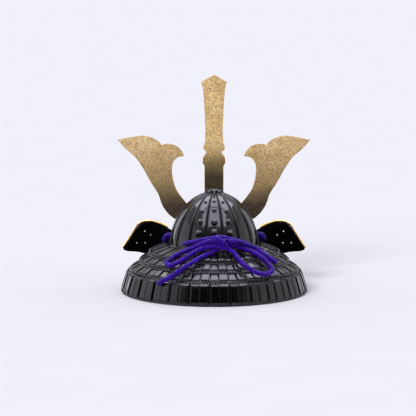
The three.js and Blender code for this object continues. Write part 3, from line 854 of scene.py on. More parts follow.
@dataclass
class Repeater:
    """Runs a Geometry Nodes tree over points or paths and keeps the plain mesh."""

    name: str
    tree: Tree
    material: Material
    lengths: Mapping[str, float] = field(default_factory=dict)
    shares: Mapping[str, float] = field(default_factory=dict)

    def over(self, spots: Spots) -> Piece:
        """Runs the tree over loose places."""
        size = np.array(spots.sizes) * MM
        return self._run(np.array(spots.places), [], outward=spots.outward, across=spots.across, size=size)

    def along(self, paths: Sequence[Points], **attributes: Points) -> Piece:
        """Runs the tree along open paths.

        Args:
            paths: The paths' points, in millimetres round the bowl's axis.
            attributes: Values at the points.

        Returns:
            The piece.
        """
        edges: list[tuple[int, int]] = []
        start = 0
        for path in paths:
            edges += [(start + i, start + i + 1) for i in range(len(path) - 1)]
            start += len(path)
        return self._run(np.vstack(list(paths)), edges, **attributes)

    def _run(self, places: Points, edges: list[tuple[int, int]], **attributes: Any) -> Piece:
        """Runs the tree on a carrier mesh, and puts the plain result in its place.

        Args:
            places: The carrier's points.
            edges: Its edges.
            attributes: Numbers or vectors at the points.

        Returns:
            The piece.
        """
        mesh = bpy.data.meshes.new(self.name)
        mesh.from_pydata(in_metres(places).tolist(), edges, [])
        for label, values in attributes.items():
            values = np.asarray(values, dtype=np.float32)
            kind, word = ("FLOAT", "value") if values.ndim == 1 else ("FLOAT_VECTOR", "vector")
            mesh.attributes.new(label, kind, "POINT").data.foreach_set(word, values.ravel())
        carrier = placed(self.name, mesh)
        modifier = carrier.modifiers.new(self.tree.name, "NODES")
        modifier.node_group = self.tree
        metres = {label: length * MM for label, length in self.lengths.items()}
        wanted = {"Material": self.material, **metres, **self.shares}
        for item in self.tree.interface.items_tree:
            if item.in_out == "INPUT" and item.name in wanted:
                modifier[item.identifier] = wanted[item.name]
        depsgraph = bpy.context.evaluated_depsgraph_get()
        plain = bpy.data.meshes.new_from_object(carrier.evaluated_get(depsgraph), depsgraph=depsgraph)
        carrier.modifiers.clear()
        carrier.data = plain
        return carrier


# The studio


@dataclass(frozen=True)
class Card:
    """A soft rectangular lamp, in metres, turned to the helmet, that shows in reflections only."""

    name: str
    place: tuple[float, float, float]
    size: tuple[float, float]
    watts: float
    aim: tuple[float, float, float] = (0.0, 0.0, 0.05)
    tint: str = "#EDEDFF"


@dataclass
class Studio:
    """Floor, lights, sky and camera. The floor and the cards are in metres, the camera in millimetres."""

    camera_place: tuple[float, float, float] = (-3.69, -1189.73, 206.75)
    camera_tilt: float = 82.5
    lens: float = 173.1
    sensor: float = 36.0
    nearest: float = 0.05
    farthest: float = 60.0
    floor_half: float = 40.0
    floor_height: float = -0.0001
    sky: str = "#F5F5FC"
    sky_strength: float = 0.82
    dark_side_strength: float = 0.03
    dark_side_behind: Span = (-0.85, -0.45, 1.0, 0.0)
    dark_side_below: Span = (0.55, 0.85, 1.0, 0.0)
    sun_strength: float = 2.0
    sun_angle: float = 25.0
    sun_turn: tuple[float, float, float] = (59.0, 0.0, -28.0)
    cards: Sequence[Card] = (
        Card("overhead_card", (0.0, 0.35, 0.95), (1.3, 0.7), 15.5),
        Card("front_overhead_card", (0.0, -0.37, 0.96), (1.1, 0.72), 11.0),
        Card("left_wall", (-1.1, -0.2, 0.35), (1.6, 0.7), 1.8),
        Card("right_wall", (1.1, -0.2, 0.35), (1.6, 0.7), 0.8),
        Card("left_strip", (-0.8, 0.85, 0.4), (0.1, 0.8), 0.6),
        Card("right_strip", (0.8, 0.85, 0.4), (0.1, 0.8), 0.2),
    )

    def build(self) -> None:
        """Makes the camera, the floor, the lights and the sky."""
        bpy.context.scene.view_settings.view_transform = "Standard"
        self._camera()
        self._floor()
        for card in self.cards:
            self._card(card)
        self._sun()
        self._sky()

    def _camera(self) -> None:
        """Stands the camera behind the helmet, a little above it, as in the photo."""
        lens = bpy.data.cameras.new("photo_camera")
        lens.lens, lens.sensor_width, lens.sensor_fit = self.lens, self.sensor, "HORIZONTAL"
        lens.clip_start, lens.clip_end = self.nearest, self.farthest
        camera = placed("photo_camera", lens)
        camera.location = Vector(in_metres(np.array(self.camera_place))[0])
        camera.rotation_euler = (math.radians(self.camera_tilt), 0.0, 0.0)
        bpy.context.scene.camera = camera

    def _floor(self) -> None:
        """Lays the pale board under the helmet."""
        half = self.floor_half
        corners = [(-half, -half, 0), (half, -half, 0), (half, half, 0), (-half, half, 0)]
        mesh = bpy.data.meshes.new("pale_floor")
        mesh.from_pydata(corners, [], [(0, 1, 2, 3)])
        mesh.materials.append(PaleBoard().material())
        floor = placed("pale_floor", mesh)
        floor.location.z = self.floor_height

    def _card(self, card: Card) -> None:
        """Hangs a lamp for reflections.

        Args:
            card: The lamp.
        """
        light = bpy.data.lights.new(card.name, "AREA")
        light.shape, light.energy = "RECTANGLE", card.watts
        light.size, light.size_y = card.size
        light.color = colour(card.tint)[:3]
        held = placed(card.name, light)
        held.location = card.place
        held.rotation_euler = (Vector(card.aim) - Vector(card.place)).to_track_quat("-Z", "Y").to_euler()
        held.visible_diffuse = False

    def _sun(self) -> None:
        """Adds the broad soft key light, high behind the camera's left shoulder."""
        light = bpy.data.lights.new("soft_key", "SUN")
        light.energy, light.angle = self.sun_strength, math.radians(self.sun_angle)
        held = placed("soft_key", light)
        held.rotation_euler = [math.radians(turn) for turn in self.sun_turn]
        held.visible_glossy = False

    def _sky(self) -> None:
        """Lights the room evenly, but for a dim side low behind the camera."""
        world = bpy.data.worlds.new("pale_room")
        world.use_nodes = True
        tree = world.node_tree
        tree.nodes.clear()
        direction = add_node(tree, "ShaderNodeTexCoord")["Generated"]
        parts = add_node(tree, "ShaderNodeSeparateXYZ", (direction,))
        sides = (("Y", self.dark_side_behind), ("Z", self.dark_side_below))
        dim = [add_node(tree, "ShaderNodeMapRange", (parts[axis], *span))[0] for axis, span in sides]
        both = add_node(tree, "ShaderNodeMath", dim, operation="MULTIPLY")[0]
        strengths = (both, 0.0, 1.0, self.sky_strength, self.dark_side_strength)
        strength = add_node(tree, "ShaderNodeMapRange", strengths)[0]
        glow = add_node(tree, "ShaderNodeBackground", {"Color": colour(self.sky), "Strength": strength})[0]
        add_node(tree, "ShaderNodeOutputWorld", {"Surface": glow})
        bpy.context.scene.world = world


# The cord


@dataclass
class Braid:
    """A round braid of eight strands, four each way, over and under, and its cut ends."""

    radius: float = 1.4
    relief: float = 0.58
    mean_height: float = 0.72
    strands: int = 4
    strand_bow: float = 0.35
    lump_pitch: float = 1.8
    ring_step: float = 0.24
    sides: int = 24
    flare: float = 0.16
    flare_length: float = 0.9
    cut_lip: float = 0.78
    cut_core: float = 0.55
    cut_rings: int = 3

    def rings(self, path: Points, loose_ends: tuple[bool, bool]) -> tuple[Points, Points]:
        """Lays the braid's surface round a path.

        Args:
            path: The centre line, evenly spaced.
            loose_ends: Whether the first and the last end are cut and flare.

        Returns:
            The rings of points and, at each point, how high it stands in the relief, 0 to 1.
        """
        along = tangents(path)
        side = np.cross(along[0], (0.0, 0.0, 1.0))
        sides = []
        for direction in along:
            side = unit(side - direction * side.dot(direction))
            sides.append(side)
        first = np.array(sides)
        second = np.cross(along, first)
        run = run_along(path)
        turn = np.arange(self.sides) / self.sides
        wound = run[:, None] / (self.lump_pitch * self.strands)
        right = (turn[None] - wound) * self.strands
        left = (turn[None] + wound) * self.strands
        over = (np.floor(right) + np.floor(left)) % 2 < 1
        across = np.where(over, right, left) % 1.0 * 2 - 1
        lengthwise = np.where(over, left, right) % 1.0 * 2 - 1
        height = np.sqrt(np.clip(1 - across**2, 0, 1)) * (1 - self.strand_bow * lengthwise**2)
        flare = np.zeros_like(run)
        for loose, gone in zip(loose_ends, (run, run[-1] - run)):
            if loose:
                flare += self.flare * np.exp(-((gone / self.flare_length) ** 2))
        reach = self.radius * (1 + flare[:, None]) + self.relief * (height - self.mean_height)
        angle = 2 * math.pi * turn
        spoke = np.cos(angle)[None, :, None] * first[:, None] + np.sin(angle)[None, :, None] * second[:, None]
        return path[:, None] + spoke * reach[:, :, None], height

    def make(
        self, name: str, route: Route, silk: Material, loose_ends: tuple[bool, bool] = (False, False)
    ) -> tuple[Piece, Points]:
        """Makes a braided cord along a route.

        Args:
            name: The piece's name.
            route: Chosen points of the centre line.
            silk: The braid's finish.
            loose_ends: Whether the first and the last end are cut.

        Returns:
            The piece and its centre line.
        """
        path = smooth_route(route, self.ring_step)
        rings, height = self.rings(path, loose_ends)
        for loose, at, inward in ((loose_ends[0], 0, 1), (loose_ends[1], -1, -1)):
            if not loose:
                continue
            lip = path[at] + (rings[at] - path[at]) * self.cut_lip
            core = path[at + self.cut_rings * inward] + (rings[at] - path[at]) * self.cut_core
            extra, low = np.stack([lip, core]), np.stack([height[at] / 2, np.zeros_like(height[at])])
            if at == 0:
                rings, height = np.vstack([extra[::-1], rings]), np.vstack([low[::-1], height])
            else:
                rings, height = np.vstack([rings, extra]), np.vstack([height, low])
        piece = skin(name, rings, Cap.POLE, [silk], 180.0)
        # The relief is kept for the finish, which paints shade near black in its lowest places: between the
        # strands, in the cut cores and at the poles.
        values = np.concatenate([height.ravel(), [0.0, 0.0]]).astype(np.float32)
        piece.data.attributes.new("relief", "FLOAT", "POINT").data.foreach_set("value", values)
        return piece, path


@dataclass
class CordAndBow:
    """The violet cord: threaded through the bowl, and tied behind in a bow with two tails."""

    braid: Braid = field(default_factory=Braid)
    threaded: Route = (
        (-0.9, -31.2, 36.2), (-5, -30.9, 35.6), (-9, -30.3, 34.6), (-12.8, -28.7, 33.6), (-15.6, -25.9, 32.6),
        (-17.1, -22, 31.7), (-18.2, -17.6, 31.3), (-20.8, -10.6, 32), (-22.6, -4, 33.2), (-25, -0.6, 33.8),
        (-28.2, 1.8, 33.2), (-29.9, 5, 30.6), (-29.4, 8.8, 29.5), (-26.6, 12.2, 30.9), (-22.8, 14.4, 31),
        (-19.2, 17, 31), (-12.6, 21.4, 31), (0, 23.9, 31), (12.6, 21.4, 31), (19.2, 17, 31), (22.4, 14.4, 31),
        (26.6, 12.4, 31.1), (29.5, 8.9, 30.1), (30, 5, 31.4), (28.4, 1.7, 33.8), (25.2, -0.7, 34.4),
        (22.7, -4, 33.6), (21.8, -11, 32), (20, -18.2, 31.2), (18.3, -22.6, 31.9), (16.2, -25.9, 33.2),
        (13, -28.6, 34.6), (10, -30.2, 35.6), (7.5, -31.1, 36.2),
    )
    left_loop: Route = (
        (-0.9, -34.6, 32.2), (-5, -34.6, 31.4), (-9, -35.2, 30), (-13, -36.6, 28), (-17, -38.8, 25.8),
        (-22, -40.2, 23), (-26, -39.4, 21.6), (-27.8, -36.6, 22.6), (-25.2, -34.2, 24.9), (-21, -32.6, 27.2),
        (-16, -31.4, 29.2), (-11, -32, 31.4), (-6, -33.6, 34), (-0.9, -34.2, 35.4),
    )
    right_loop: Route = (
        (8, -31.3, 33), (12, -30.6, 31.8), (17, -29.6, 30), (22, -29.4, 28.2), (27, -31.6, 25.7),
        (31.5, -34.6, 21.8), (33.8, -37.6, 18.4), (31, -41.4, 17), (26, -44, 17.6), (20.4, -44.2, 20.4),
        (16, -41.9, 23.5), (13.4, -38.8, 26.4), (10.6, -35.2, 29), (7.8, -34.4, 30.8),
    )
    left_tail: Route = (
        (0.9, -33.2, 29.4), (-3, -35.8, 28), (-8, -39.8, 26.2), (-14, -43.2, 23.2), (-20, -45.2, 19.6),
        (-26, -46.2, 15.6), (-30, -45.2, 13.4), (-32.4, -44.2, 11.4),
    )
    right_tail: Route = (
        (7.7, -34.3, 35.2), (12, -33.1, 34.8), (17, -29.9, 33.2), (21, -26.6, 31.2), (25, -25.2, 29),
        (29, -27, 26.6), (33.5, -29.2, 23.7), (36.5, -29.2, 21.8),
    )
    knot_turns: Sequence[Route] = (
        ((1.6, -30.9, 33.6), (0.6, -32.4, 36.3), (1.6, -34.4, 37.0), (4.0, -35.6, 35.4), (6.3, -35.4, 33.4),
         (7.2, -33.6, 31.9), (6.4, -31.4, 31.6)),
        ((-0.9, -34.2, 35.4), (1.2, -34.6, 35.0), (3.4, -33.6, 34.0), (5.6, -33.0, 33.0), (8.0, -32.6, 32.6)),
        ((-0.9, -34.6, 32.2), (1.4, -34.9, 31.8), (3.8, -34.4, 31.4), (5.8, -34.2, 31.2), (7.8, -34.4, 30.8)),
        ((0.9, -33.2, 29.4), (2.2, -32.8, 31.2), (3.4, -32.2, 33.2), (5.4, -32.4, 34.8), (7.7, -34.3, 35.2)),
        ((-0.9, -31.2, 36.2), (2.0, -31.0, 36.9), (5.0, -31.0, 36.8), (7.5, -31.1, 36.2)),
    )

    def build(self, silk: Material) -> None:
        """Makes each stretch of the cord, and the knot's own turns, and puts them in place of their CAD
        nodes.

        Args:
            silk: The braid's finish.
        """
        numbered = enumerate(self.knot_turns, start=1)
        turns = [self.braid.make(f"knot_turn_{i}", route, silk)[0] for i, route in numbered]
        hand_over(joined("bow_knot_turns", turns), Slot.CORD, "bow_knot")
        stretches = (
            ("threaded_cord", self.threaded, "cord_threaded", "taut", "object"),
            ("left_bow_loop", self.left_loop, "bow_loop_left", "loose", "object"),
            ("right_bow_loop", self.right_loop, "bow_loop_right", "loose", "object"),
            ("left_bow_tail", self.left_tail, "bow_tail_left", "loose", "bare"),
            ("right_bow_tail", self.right_tail, "bow_tail_right", "loose", "bare"),
        )
        for name, route, node, lay, far_end in stretches:
            piece, path = self.braid.make(name, route, silk, (False, far_end == "bare"))
            hand_over(piece, Slot.CORD, node)


# The bowl


@dataclass
class Bowl:
    """The fluted bowl, its ribs, rivets and flange, and the finial on its crown.

    rivet_rows gives, for each panel from the rear one, each rivet's share of the rise and its size
    as a share of rivet_width. cove and undercut give out and up from the flange's root, above and
    below. crown_profile gives the radius as a share of crown_radius, the height as a share of
    crown_thickness above the seat and in millimetres below it, and the depth of the petals.
    """

    half_width: float = 26.8
    half_length: float = 29.6
    rise: float = 32.2
    base: float = 28.1
    fullness: float = 1.85
    wall: float = 1.8
    edge: float = 0.3
    waist_depth: float = 2.7
    flange_reach: float = 1.2
    flange_thickness: float = 1.0
    lip_steps: int = 9
    cove: Sequence[tuple[float, float]] = ((0.15, 0.25), (0.45, 0.04))
    undercut: Sequence[tuple[float, float]] = ((0.1, -0.02), (0.0, -0.3))
    panels: int = 16
    columns: int = 256
    rows: int = 56
    pillow: float = 0.34
    rib_rows: int = 44
    rib_start: float = 0.012
    rib_end: float = 0.99
    rib_fullness: float = 2.2
    rib_least: float = 0.25
    wires: Mapping[str, float] = field(default_factory=lambda: {
        "Wire Radius": 0.36, "Wire Spread": 0.82, "Wire Lift": 0.1, "Band Width": 0.3, "Band Height": 0.05
    })
    groove_shade_strips: Mapping[str, float] = field(default_factory=lambda: {
        "Wire Radius": 0.12, "Wire Spread": 0.3, "Wire Lift": 0.08, "Band Width": 0.62, "Band Height": 0.16
    })
    rivet_width: float = 4.4
    rivet_rows: Mapping[int, Sequence[tuple[float, float]]] = field(default_factory=lambda: {
        0: ((0.925, 0.41), (0.857, 0.5), (0.714, 0.68), (0.516, 0.91), (0.342, 1.0)),
        -1: ((0.842, 0.5), (0.693, 0.68), (0.516, 0.86), (0.314, 1.0)),
        1: ((0.842, 0.5), (0.693, 0.68), (0.516, 0.86), (0.314, 1.0)),
    })
    crown_radius: float = 5.4
    crown_thickness: float = 1.25
    crown_petals: int = 8
    crown_columns: int = 96
    crown_profile: Sequence[tuple[float, float, float]] = (
        (0.44, -2.4, 0.0), (0.46, -2.0, 0.0), (0.46, -0.2, 0.0), (0.94, -1.3, 0.26), (1.04, -1.2, 0.32),
        (1.1, -0.8, 0.36), (1.05, -0.3, 0.34), (0.92, 0.5, 0.28), (0.78, 0.8, 0.2), (0.66, 0.7, 0.12),
        (0.56, 0.36, 0.04), (0.46, 0.36, 0.0), (0.42, 0.8, 0.0), (0.32, 1.14, 0.0), (0.16, 1.26, 0.0),
    )

    def at(self, turn: Points | float, radius: Points | float, height: Points | float) -> Points:
        """Gives points on the bowl's oval plan, turns in degrees from the rear towards +X."""
        return on_oval(turn, radius, np.asarray(radius) * (self.half_length / self.half_width), height)

    def dome(self, risen: Points | float) -> Points:
        """Gives the dome's half width, as a share of its base, at a share of its rise."""
        return np.power(1 - np.power(np.asarray(risen, dtype=float), self.fullness), 1 / self.fullness)

    def normal(self, point: Points, risen: float) -> Points:
        """Gives the dome's outward direction.

        Args:
            point: A point on the dome.
            risen: Its share of the rise.

        Returns:
            The unit direction.
        """
        slope = math.hypot(point[0] / self.half_width, point[1] / self.half_length) ** (self.fullness - 2)
        sideways = slope * point[0] / self.half_width**2
        lengthwise = slope * point[1] / self.half_length**2
        return unit(np.array([sideways, lengthwise, risen ** (self.fullness - 1) / self.rise]))

    def build(self, finishes: Finishes) -> None:
        """Makes the shell, its ribs and rivets, and the finial.

        Args:
            finishes: The helmet's finishes.
        """
        hand_over(self._shell(finishes.black), Slot.BLACK, "bowl")
        hand_over(self._ribs("bowl_ribs", self.wires, finishes.black), Slot.BLACK)
        # A dull, barely reflecting strip between each rib's wires: painted shade in the groove.
        hand_over(self._ribs("bowl_rib_groove_shade_strips", self.groove_shade_strips, finishes.satin), Slot.BLACK)
        hand_over(self._rivets(finishes.black), Slot.BLACK)
        hand_over(self._crown(finishes.black), Slot.BLACK, "crown_boss")

    def _shell(self, black: Material) -> Piece:
        """Makes the closed bowl: dome, rolled flange, waist and inside.

        Args:
            black: Its finish.

        Returns:
            The piece.
        """
        edge, lip = self.edge, self.flange_thickness / 2
        inner, foot = self.half_width - self.wall, self.base - self.waist_depth
        climb = 1 - np.linspace(0, 1, self.rows)[1:] ** 2.0
        outside = [(self.half_width * float(self.dome(s)), self.base + self.rise * s) for s in climb[:-1]]
        top, flange = self.base + self.flange_thickness, self.half_width + self.flange_reach
        section = [*outside, *((self.half_width + out, top + up) for out, up in self.cove)]
        section += [
            (flange - lip + lip * math.sin(a), self.base + lip + lip * math.cos(a))
            for a in np.linspace(0, math.pi, self.lip_steps)
        ]
        section += [(self.half_width + out, self.base + up) for out, up in self.undercut]
        section += [(self.half_width, foot + edge), (self.half_width - edge, foot)]
        section += [(inner + edge, foot), (inner, foot + edge)]
        rise_in = self.rise - self.wall
        section += [(inner * float(self.dome(s)), self.base + rise_in * s) for s in climb[::-1][1:]]
        turns = np.arange(self.columns) * 360 / self.columns
        pitch = 360 / self.panels
        from_middle = (turns + pitch / 2) % pitch / pitch * 2 - 1
        rings = []
        for i, (radius, height) in enumerate(section):
            sunk = self.pillow * from_middle**4 if i < len(outside) else 0.0
            rings.append(self.at(turns, radius - sunk * radius / self.half_width, height))
        return skin("bowl_shell", np.stack(rings), Cap.POLE, [black])

    def _ribs(self, name: str, sizes: Mapping[str, float], finish: Material) -> Piece:
        """Runs a double rib, or the dull near-black strip laid as painted shade in the groove between its
        wires, up each of the bowl's joints.

        Args:
            name: The piece's name.
            sizes: The lengths that the rib's tree asks for.
            finish: Its finish.

        Returns:
            The piece.
        """
        climb = np.sin(np.linspace(self.rib_start, 1, self.rib_rows) * math.pi / 2) * self.rib_end
        radius = self.half_width * self.dome(climb)
        turns = [(panel + 0.5) * 360 / self.panels for panel in range(self.panels)]
        paths = [self.at(turn, radius, self.base + self.rise * climb) for turn in turns]
        full = np.clip(self.rib_fullness * radius / self.half_width, self.rib_least, 1.0)
        share = np.tile(full, self.panels)
        return Repeater(name, rib_tree(), finish, sizes).along(paths, share=share)

    def _rivets(self, black: Material) -> Piece:
        """Sets the domed rivets down the three rear panels.

        Args:
            black: Their finish.

        Returns:
            The piece.
        """
        spots = Spots()
        for panel, rows in self.rivet_rows.items():
            for risen, share in rows:
                radius, height = self.half_width * self.dome(risen), self.base + self.rise * risen
                seat = self.at(panel * 360 / self.panels, radius, height)
                outward = self.normal(seat, risen)
                width = self.rivet_width * share
                spots.add(seat, outward, np.cross((0.0, 0.0, 1.0), outward), (width, width, width))
        shares = {"Fullness": 0.9, "Washer": 1.1}
        return Repeater("bowl_rivets", dome_tree(), black, shares=shares).over(spots)

    def _crown(self, black: Material) -> Piece:
        """Makes the petalled finial on its stem.

        Args:
            black: Its finish.

        Returns:
            The piece.
        """
        seat = self.base + self.rise
        turn = np.arange(self.crown_columns) * 360 / self.crown_columns
        rings = []
        for share, lift, petal in self.crown_profile:
            wave = 1 - petal / 2 + (petal / 2) * np.cos(np.radians(self.crown_petals * turn))
            radius = self.crown_radius * share * wave
            height = seat + (lift * self.crown_thickness if lift > 0 else lift)
            rings.append(on_oval(turn, radius, radius, height))
        return skin("crown_finial", np.stack(rings), Cap.POLE, [black], 60.0)


# The neck guard


@dataclass
class Tier:
    """One tier of the guard, by its section's corners, out and up from the axis."""

    name: str
    top: Points
    foot: Points
    under_foot: Points
    under_top: Points
    steep: bool = False

    @property
    def down(self) -> Points:
        """The direction down the outer face."""
        return unit(self.foot - self.top)

    @property
    def out(self) -> Points:
        """The direction out of the outer face."""
        return np.array([-self.down[1], self.down[0]])

    @property
    def length(self) -> float:
        """The run of the outer face from top to foot."""
        return float(np.linalg.norm(self.foot - self.top))


@dataclass
class NeckGuard:
    """The flared neck guard: three lapped tiers, a deep skirt, and the peak in front.

    feet gives each lapped tier's name, and its foot as a share of the way out from the bowl to the
    skirt and of the way up from the floor to the bowl. A pair of lifts or shares is for the tiers
    and for the skirt. A row is a place down the face or up from the foot, and out of the face.
    """

    bowl: Bowl
    skirt_radius: float = 55.6
    wall: float = 1.6
    plate_degrees: float = 6.35
    plates_each_side: int = 19
    proud: float = 0.35
    lap: float = 0.05
    plate_start: float = 0.02
    plate_lift: tuple[float, float] = (0.35, 0.05)
    plate_share: tuple[float, float] = (0.9, 0.97)
    plate_depth: float = 0.9
    bar_start: float = 0.03
    bar_lift: tuple[float, float] = (0.4, 0.15)
    bar_place: float = 0.44
    bar_width: float = 0.46
    bar_depth: float = 1.1
    skirt_span: tuple[float, float] = (0.06, 0.94)
    ridge_width: float = 1.5
    ridge_gap: float = 0.05
    ridge_out: float = 0.3
    lip_down: float = 0.2
    skirt_row: tuple[float, float] = (0.85, 0.1)
    lacing_row: tuple[float, float] = (1.3, 0.2)
    beads: Mapping[str, float] = field(
        default_factory=lambda: {"Pitch": 1.7, "Length": 1.05, "Width": 1.15, "Depth": 1.15}
    )
    bead_slant: float = 0.35
    stitches: Mapping[str, float] = field(
        default_factory=lambda: {"Pitch": 1.2, "Length": 0.7, "Width": 1.9, "Depth": 0.8}
    )
    stitch_slant: float = 0.25
    tuck: float = 0.7
    lip_reach: float = 0.25
    feet: Sequence[tuple[str, float, float]] = (
        ("neck_lame_1", 0.437, 0.84),
        ("neck_lame_2", 0.635, 0.664),
        ("neck_lame_3", 0.838, 0.468),
    )
    boss_turn: float = 69.5
    boss_out: float = 0.35
    boss_size: tuple[float, float, float] = (6.4, 4.6, 3.4)
    visor_reach: float = 9.5
    visor_drop: float = 3.4
    visor_wall: float = 1.5
    visor_edge: float = 0.3
    visor_round: float = 0.08
    visor_columns: int = 61
    visor_half_span: float = 50.0
    visor_least: float = 0.35
    visor_rim_width: float = 1.0
    visor_rim_height: float = 2.1

    @property
    def waist(self) -> float:
        """The radius at which the tiers hang."""
        return self.bowl.half_width + CLEARANCE

    def at(self, turn: Points | float, radius: Points | float, height: Points | float) -> Points:
        """Gives points on the guard's plan, an oval at the bowl that rounds out to the skirt's circle.

        Args:
            turn: Degrees from the rear towards +X.
            radius: The plan's half width.
            height: The height.

        Returns:
            The points, in the last axis of the array.
        """
        radius = np.asarray(radius, dtype=float)
        stretch = (self.bowl.half_length - self.bowl.half_width) / (self.skirt_radius - self.bowl.half_width)
        return on_oval(turn, radius, radius + np.maximum(0.0, self.skirt_radius - radius) * stretch, height)

    def tiers(self) -> list[Tier]:
        """Works out each tier's section from the one above it.

        Returns:
            The tiers from the top, the skirt last.
        """
        span = self.skirt_radius - self.waist
        top = np.array([self.waist, self.bowl.base - CLEARANCE])
        found: list[Tier] = []
        for name, out_share, up_share in self.feet:
            foot = np.array([self.waist + span * out_share, self.bowl.base * up_share])
            down = unit(foot - top)
            out = np.array([-down[1], down[0]])
            under_top = np.array([top[0], top[1] - self.wall / out[1]])
            found.append(Tier(name, top, foot, foot - out * self.wall, under_top))
            top = foot - down * self.tuck - out * (self.wall + CLEARANCE)
        above = found[-1]
        gap = np.array([above.out[1], -above.out[0]]) * CLEARANCE
        top, under_top = above.foot + gap + above.out * CLEARANCE, above.under_foot + gap
        foot, under_foot = np.array([self.skirt_radius, 0.0]), np.array([self.skirt_radius - self.wall, 0.0])
        return [*found, Tier("neck_skirt", top, foot, under_foot, under_top, steep=True)]

    def build(self, finishes: Finishes) -> None:
        """Makes every tier with its plates, welts and beads, then the lacing, the boss and the peak.

        Args:
            finishes: The helmet's finishes.
        """
        for tier in self.tiers():
            hand_over(self._shell(tier, finishes.black), Slot.BLACK, tier.name)
            hand_over(self._plates(tier, finishes.black if tier.steep else finishes.plates), Slot.BLACK)
            hand_over(self._bars(tier, finishes.black), Slot.BLACK)
            # The beads and the lacing are grey: a painted highlight for their glints.
            hand_over(self._rope(tier, finishes.edges), Slot.BLACK)
        hand_over(self._lacing(finishes.edges), Slot.BLACK)
        hand_over(self._boss(finishes.black), Slot.BLACK)
        self._visor(finishes)

    def _section(self, tier: Tier) -> Points:
        """Gives the tier's closed section with rounded edges.

        Args:
            tier: The tier.

        Returns:
            The section's points, out and up.
        """
        face = [tier.top + tier.down * tier.length * s for s in np.linspace(0.02, 0.97, 12)]
        back = [tier.under_foot + (tier.under_top - tier.under_foot) * s for s in np.linspace(0.04, 0.98, 10)]
        middle, half = (tier.foot + tier.under_foot) / 2, (tier.foot - tier.under_foot) / 2
        onward = np.zeros(2) if tier.steep else tier.down * self.lip_reach
        lip = [middle + half * math.cos(a) + onward * math.sin(a) for a in np.linspace(0.3, 2.84, 6)]
        return np.array(face + lip + back)

    def _turns(self, per_plate: int) -> Points:
        """Gives even turns over the guard's whole sweep."""
        half = (self.plates_each_side + 0.5) * self.plate_degrees
        return np.linspace(-half, half, (2 * self.plates_each_side + 1) * per_plate + 1)

    def _shell(self, tier: Tier, black: Material) -> Piece:
        """Makes the tier's smooth closed body.

        Args:
            tier: The tier.
            black: Its finish.

        Returns:
            The piece.
        """
        section = self._section(tier)
        rings = np.stack([self.at(turn, section[:, 0], section[:, 1]) for turn in self._turns(6)])
        return skin(f"{tier.name}_body", rings, Cap.PLATE, [black], 50.0)

    def _frame(self, tier: Tier, turn: float, along: float) -> tuple[Points, Points, Points, float]:
        """Finds a place on a tier's outer face.

        Args:
            tier: The tier.
            turn: Degrees from the rear towards +X.
            along: The share of the way down the face.

        Returns:
            The place, its outward and across directions, and a plate's width there.
        """
        at = tier.top + tier.down * tier.length * along
        nudge = 0.5
        place = self.at(turn, *at)
        across = self.at(turn + nudge, *at) - self.at(turn - nudge, *at)
        width = np.linalg.norm(across) / (2 * nudge) * self.plate_degrees
        across = unit(across)
        outward = unit(np.cross(self.at(turn, *(at + tier.down * nudge)) - place, across))
        if outward[:2].dot(place[:2]) < 0:
            outward = -outward
        return place, outward, across, width

    def _stood(
        self, tier: Tier, span: tuple[float, float], things: Route, width: tuple[float, float], depth: float
    ) -> Spots:
        """Stands long things side by side on a tier's face.

        Args:
            tier: The tier.
            span: The shares of the way down the face that they start and end at.
            things: For each, its place in plates from the rear one, and how far it stands out.
            width: Their width, as a share of a plate's and in millimetres more.
            depth: Their depth.

        Returns:
            Their places.
        """
        start, end = span
        spots = Spots()
        for plate, lift in things:
            place, out, across, pitch = self._frame(tier, plate * self.plate_degrees, (start + end) / 2)
            size = (pitch * width[0] + width[1], tier.length * (end - start), depth)
            spots.add(place + out * lift, out, across, size)
        return spots

    def _span(self, tier: Tier, start: float) -> tuple[float, float]:
        """Gives where things on a tier's face start and end: on the skirt the same for all.

        Args:
            tier: The tier.
            start: The share of the way down a lapped tier's face where they start.

        Returns:
            The shares of the way down the face.
        """
        if tier.steep:
            return self.skirt_span
        return start, 1 - (self.ridge_width + self.ridge_gap) / tier.length

    def _plates(self, tier: Tier, finish: Material) -> Piece:
        """Lays a plate on every place of a tier, every second one proud and, on the skirt, lapped.

        Args:
            tier: The tier.
            finish: The plates' finish.

        Returns:
            The piece.
        """
        span = self._span(tier, self.plate_start)
        lift, share = self.plate_lift[tier.steep], self.plate_share[tier.steep]
        lap = self.lap if tier.steep else 0.0
        every = range(-self.plates_each_side, self.plates_each_side + 1)
        things = [(plate + lap * (1 - 2 * (plate % 2)), lift + self.proud * (plate % 2)) for plate in every]
        spots = self._stood(tier, span, things, (share, 0.0), self.plate_depth)
        above, below = (self._frame(tier, 0.0, end)[3] for end in span)
        narrowing = 2 * (below - above) / (below + above)
        shares = {"Narrowing": narrowing, "Edge Drop": 0.8, "Edge Sharpness": 14.0}
        return Repeater(f"{tier.name}_plates", plate_tree(), finish, shares=shares).over(spots)

    def _bars(self, tier: Tier, finish: Material) -> Piece:
        """Stands a narrow welt along both edges of each proud plate.

        Args:
            tier: The tier.
            finish: The welts' finish.

        Returns:
            The piece.
        """
        span = self._span(tier, self.bar_start)
        lift, lap = self.bar_lift[tier.steep], self.lap if tier.steep else 0.0
        proud = [plate for plate in range(-self.plates_each_side, self.plates_each_side + 1) if plate % 2]
        things = [
            (plate - lap + self.bar_place * edge, lift + self.proud) for plate in proud for edge in (-1, 1)
        ]
        spots = self._stood(tier, span, things, (0.0, self.bar_width), self.bar_depth)
        shares = {"Narrowing": 0.0, "Edge Drop": 0.5}
        return Repeater(f"{tier.name}_bars", plate_tree(), finish, shares=shares).over(spots)

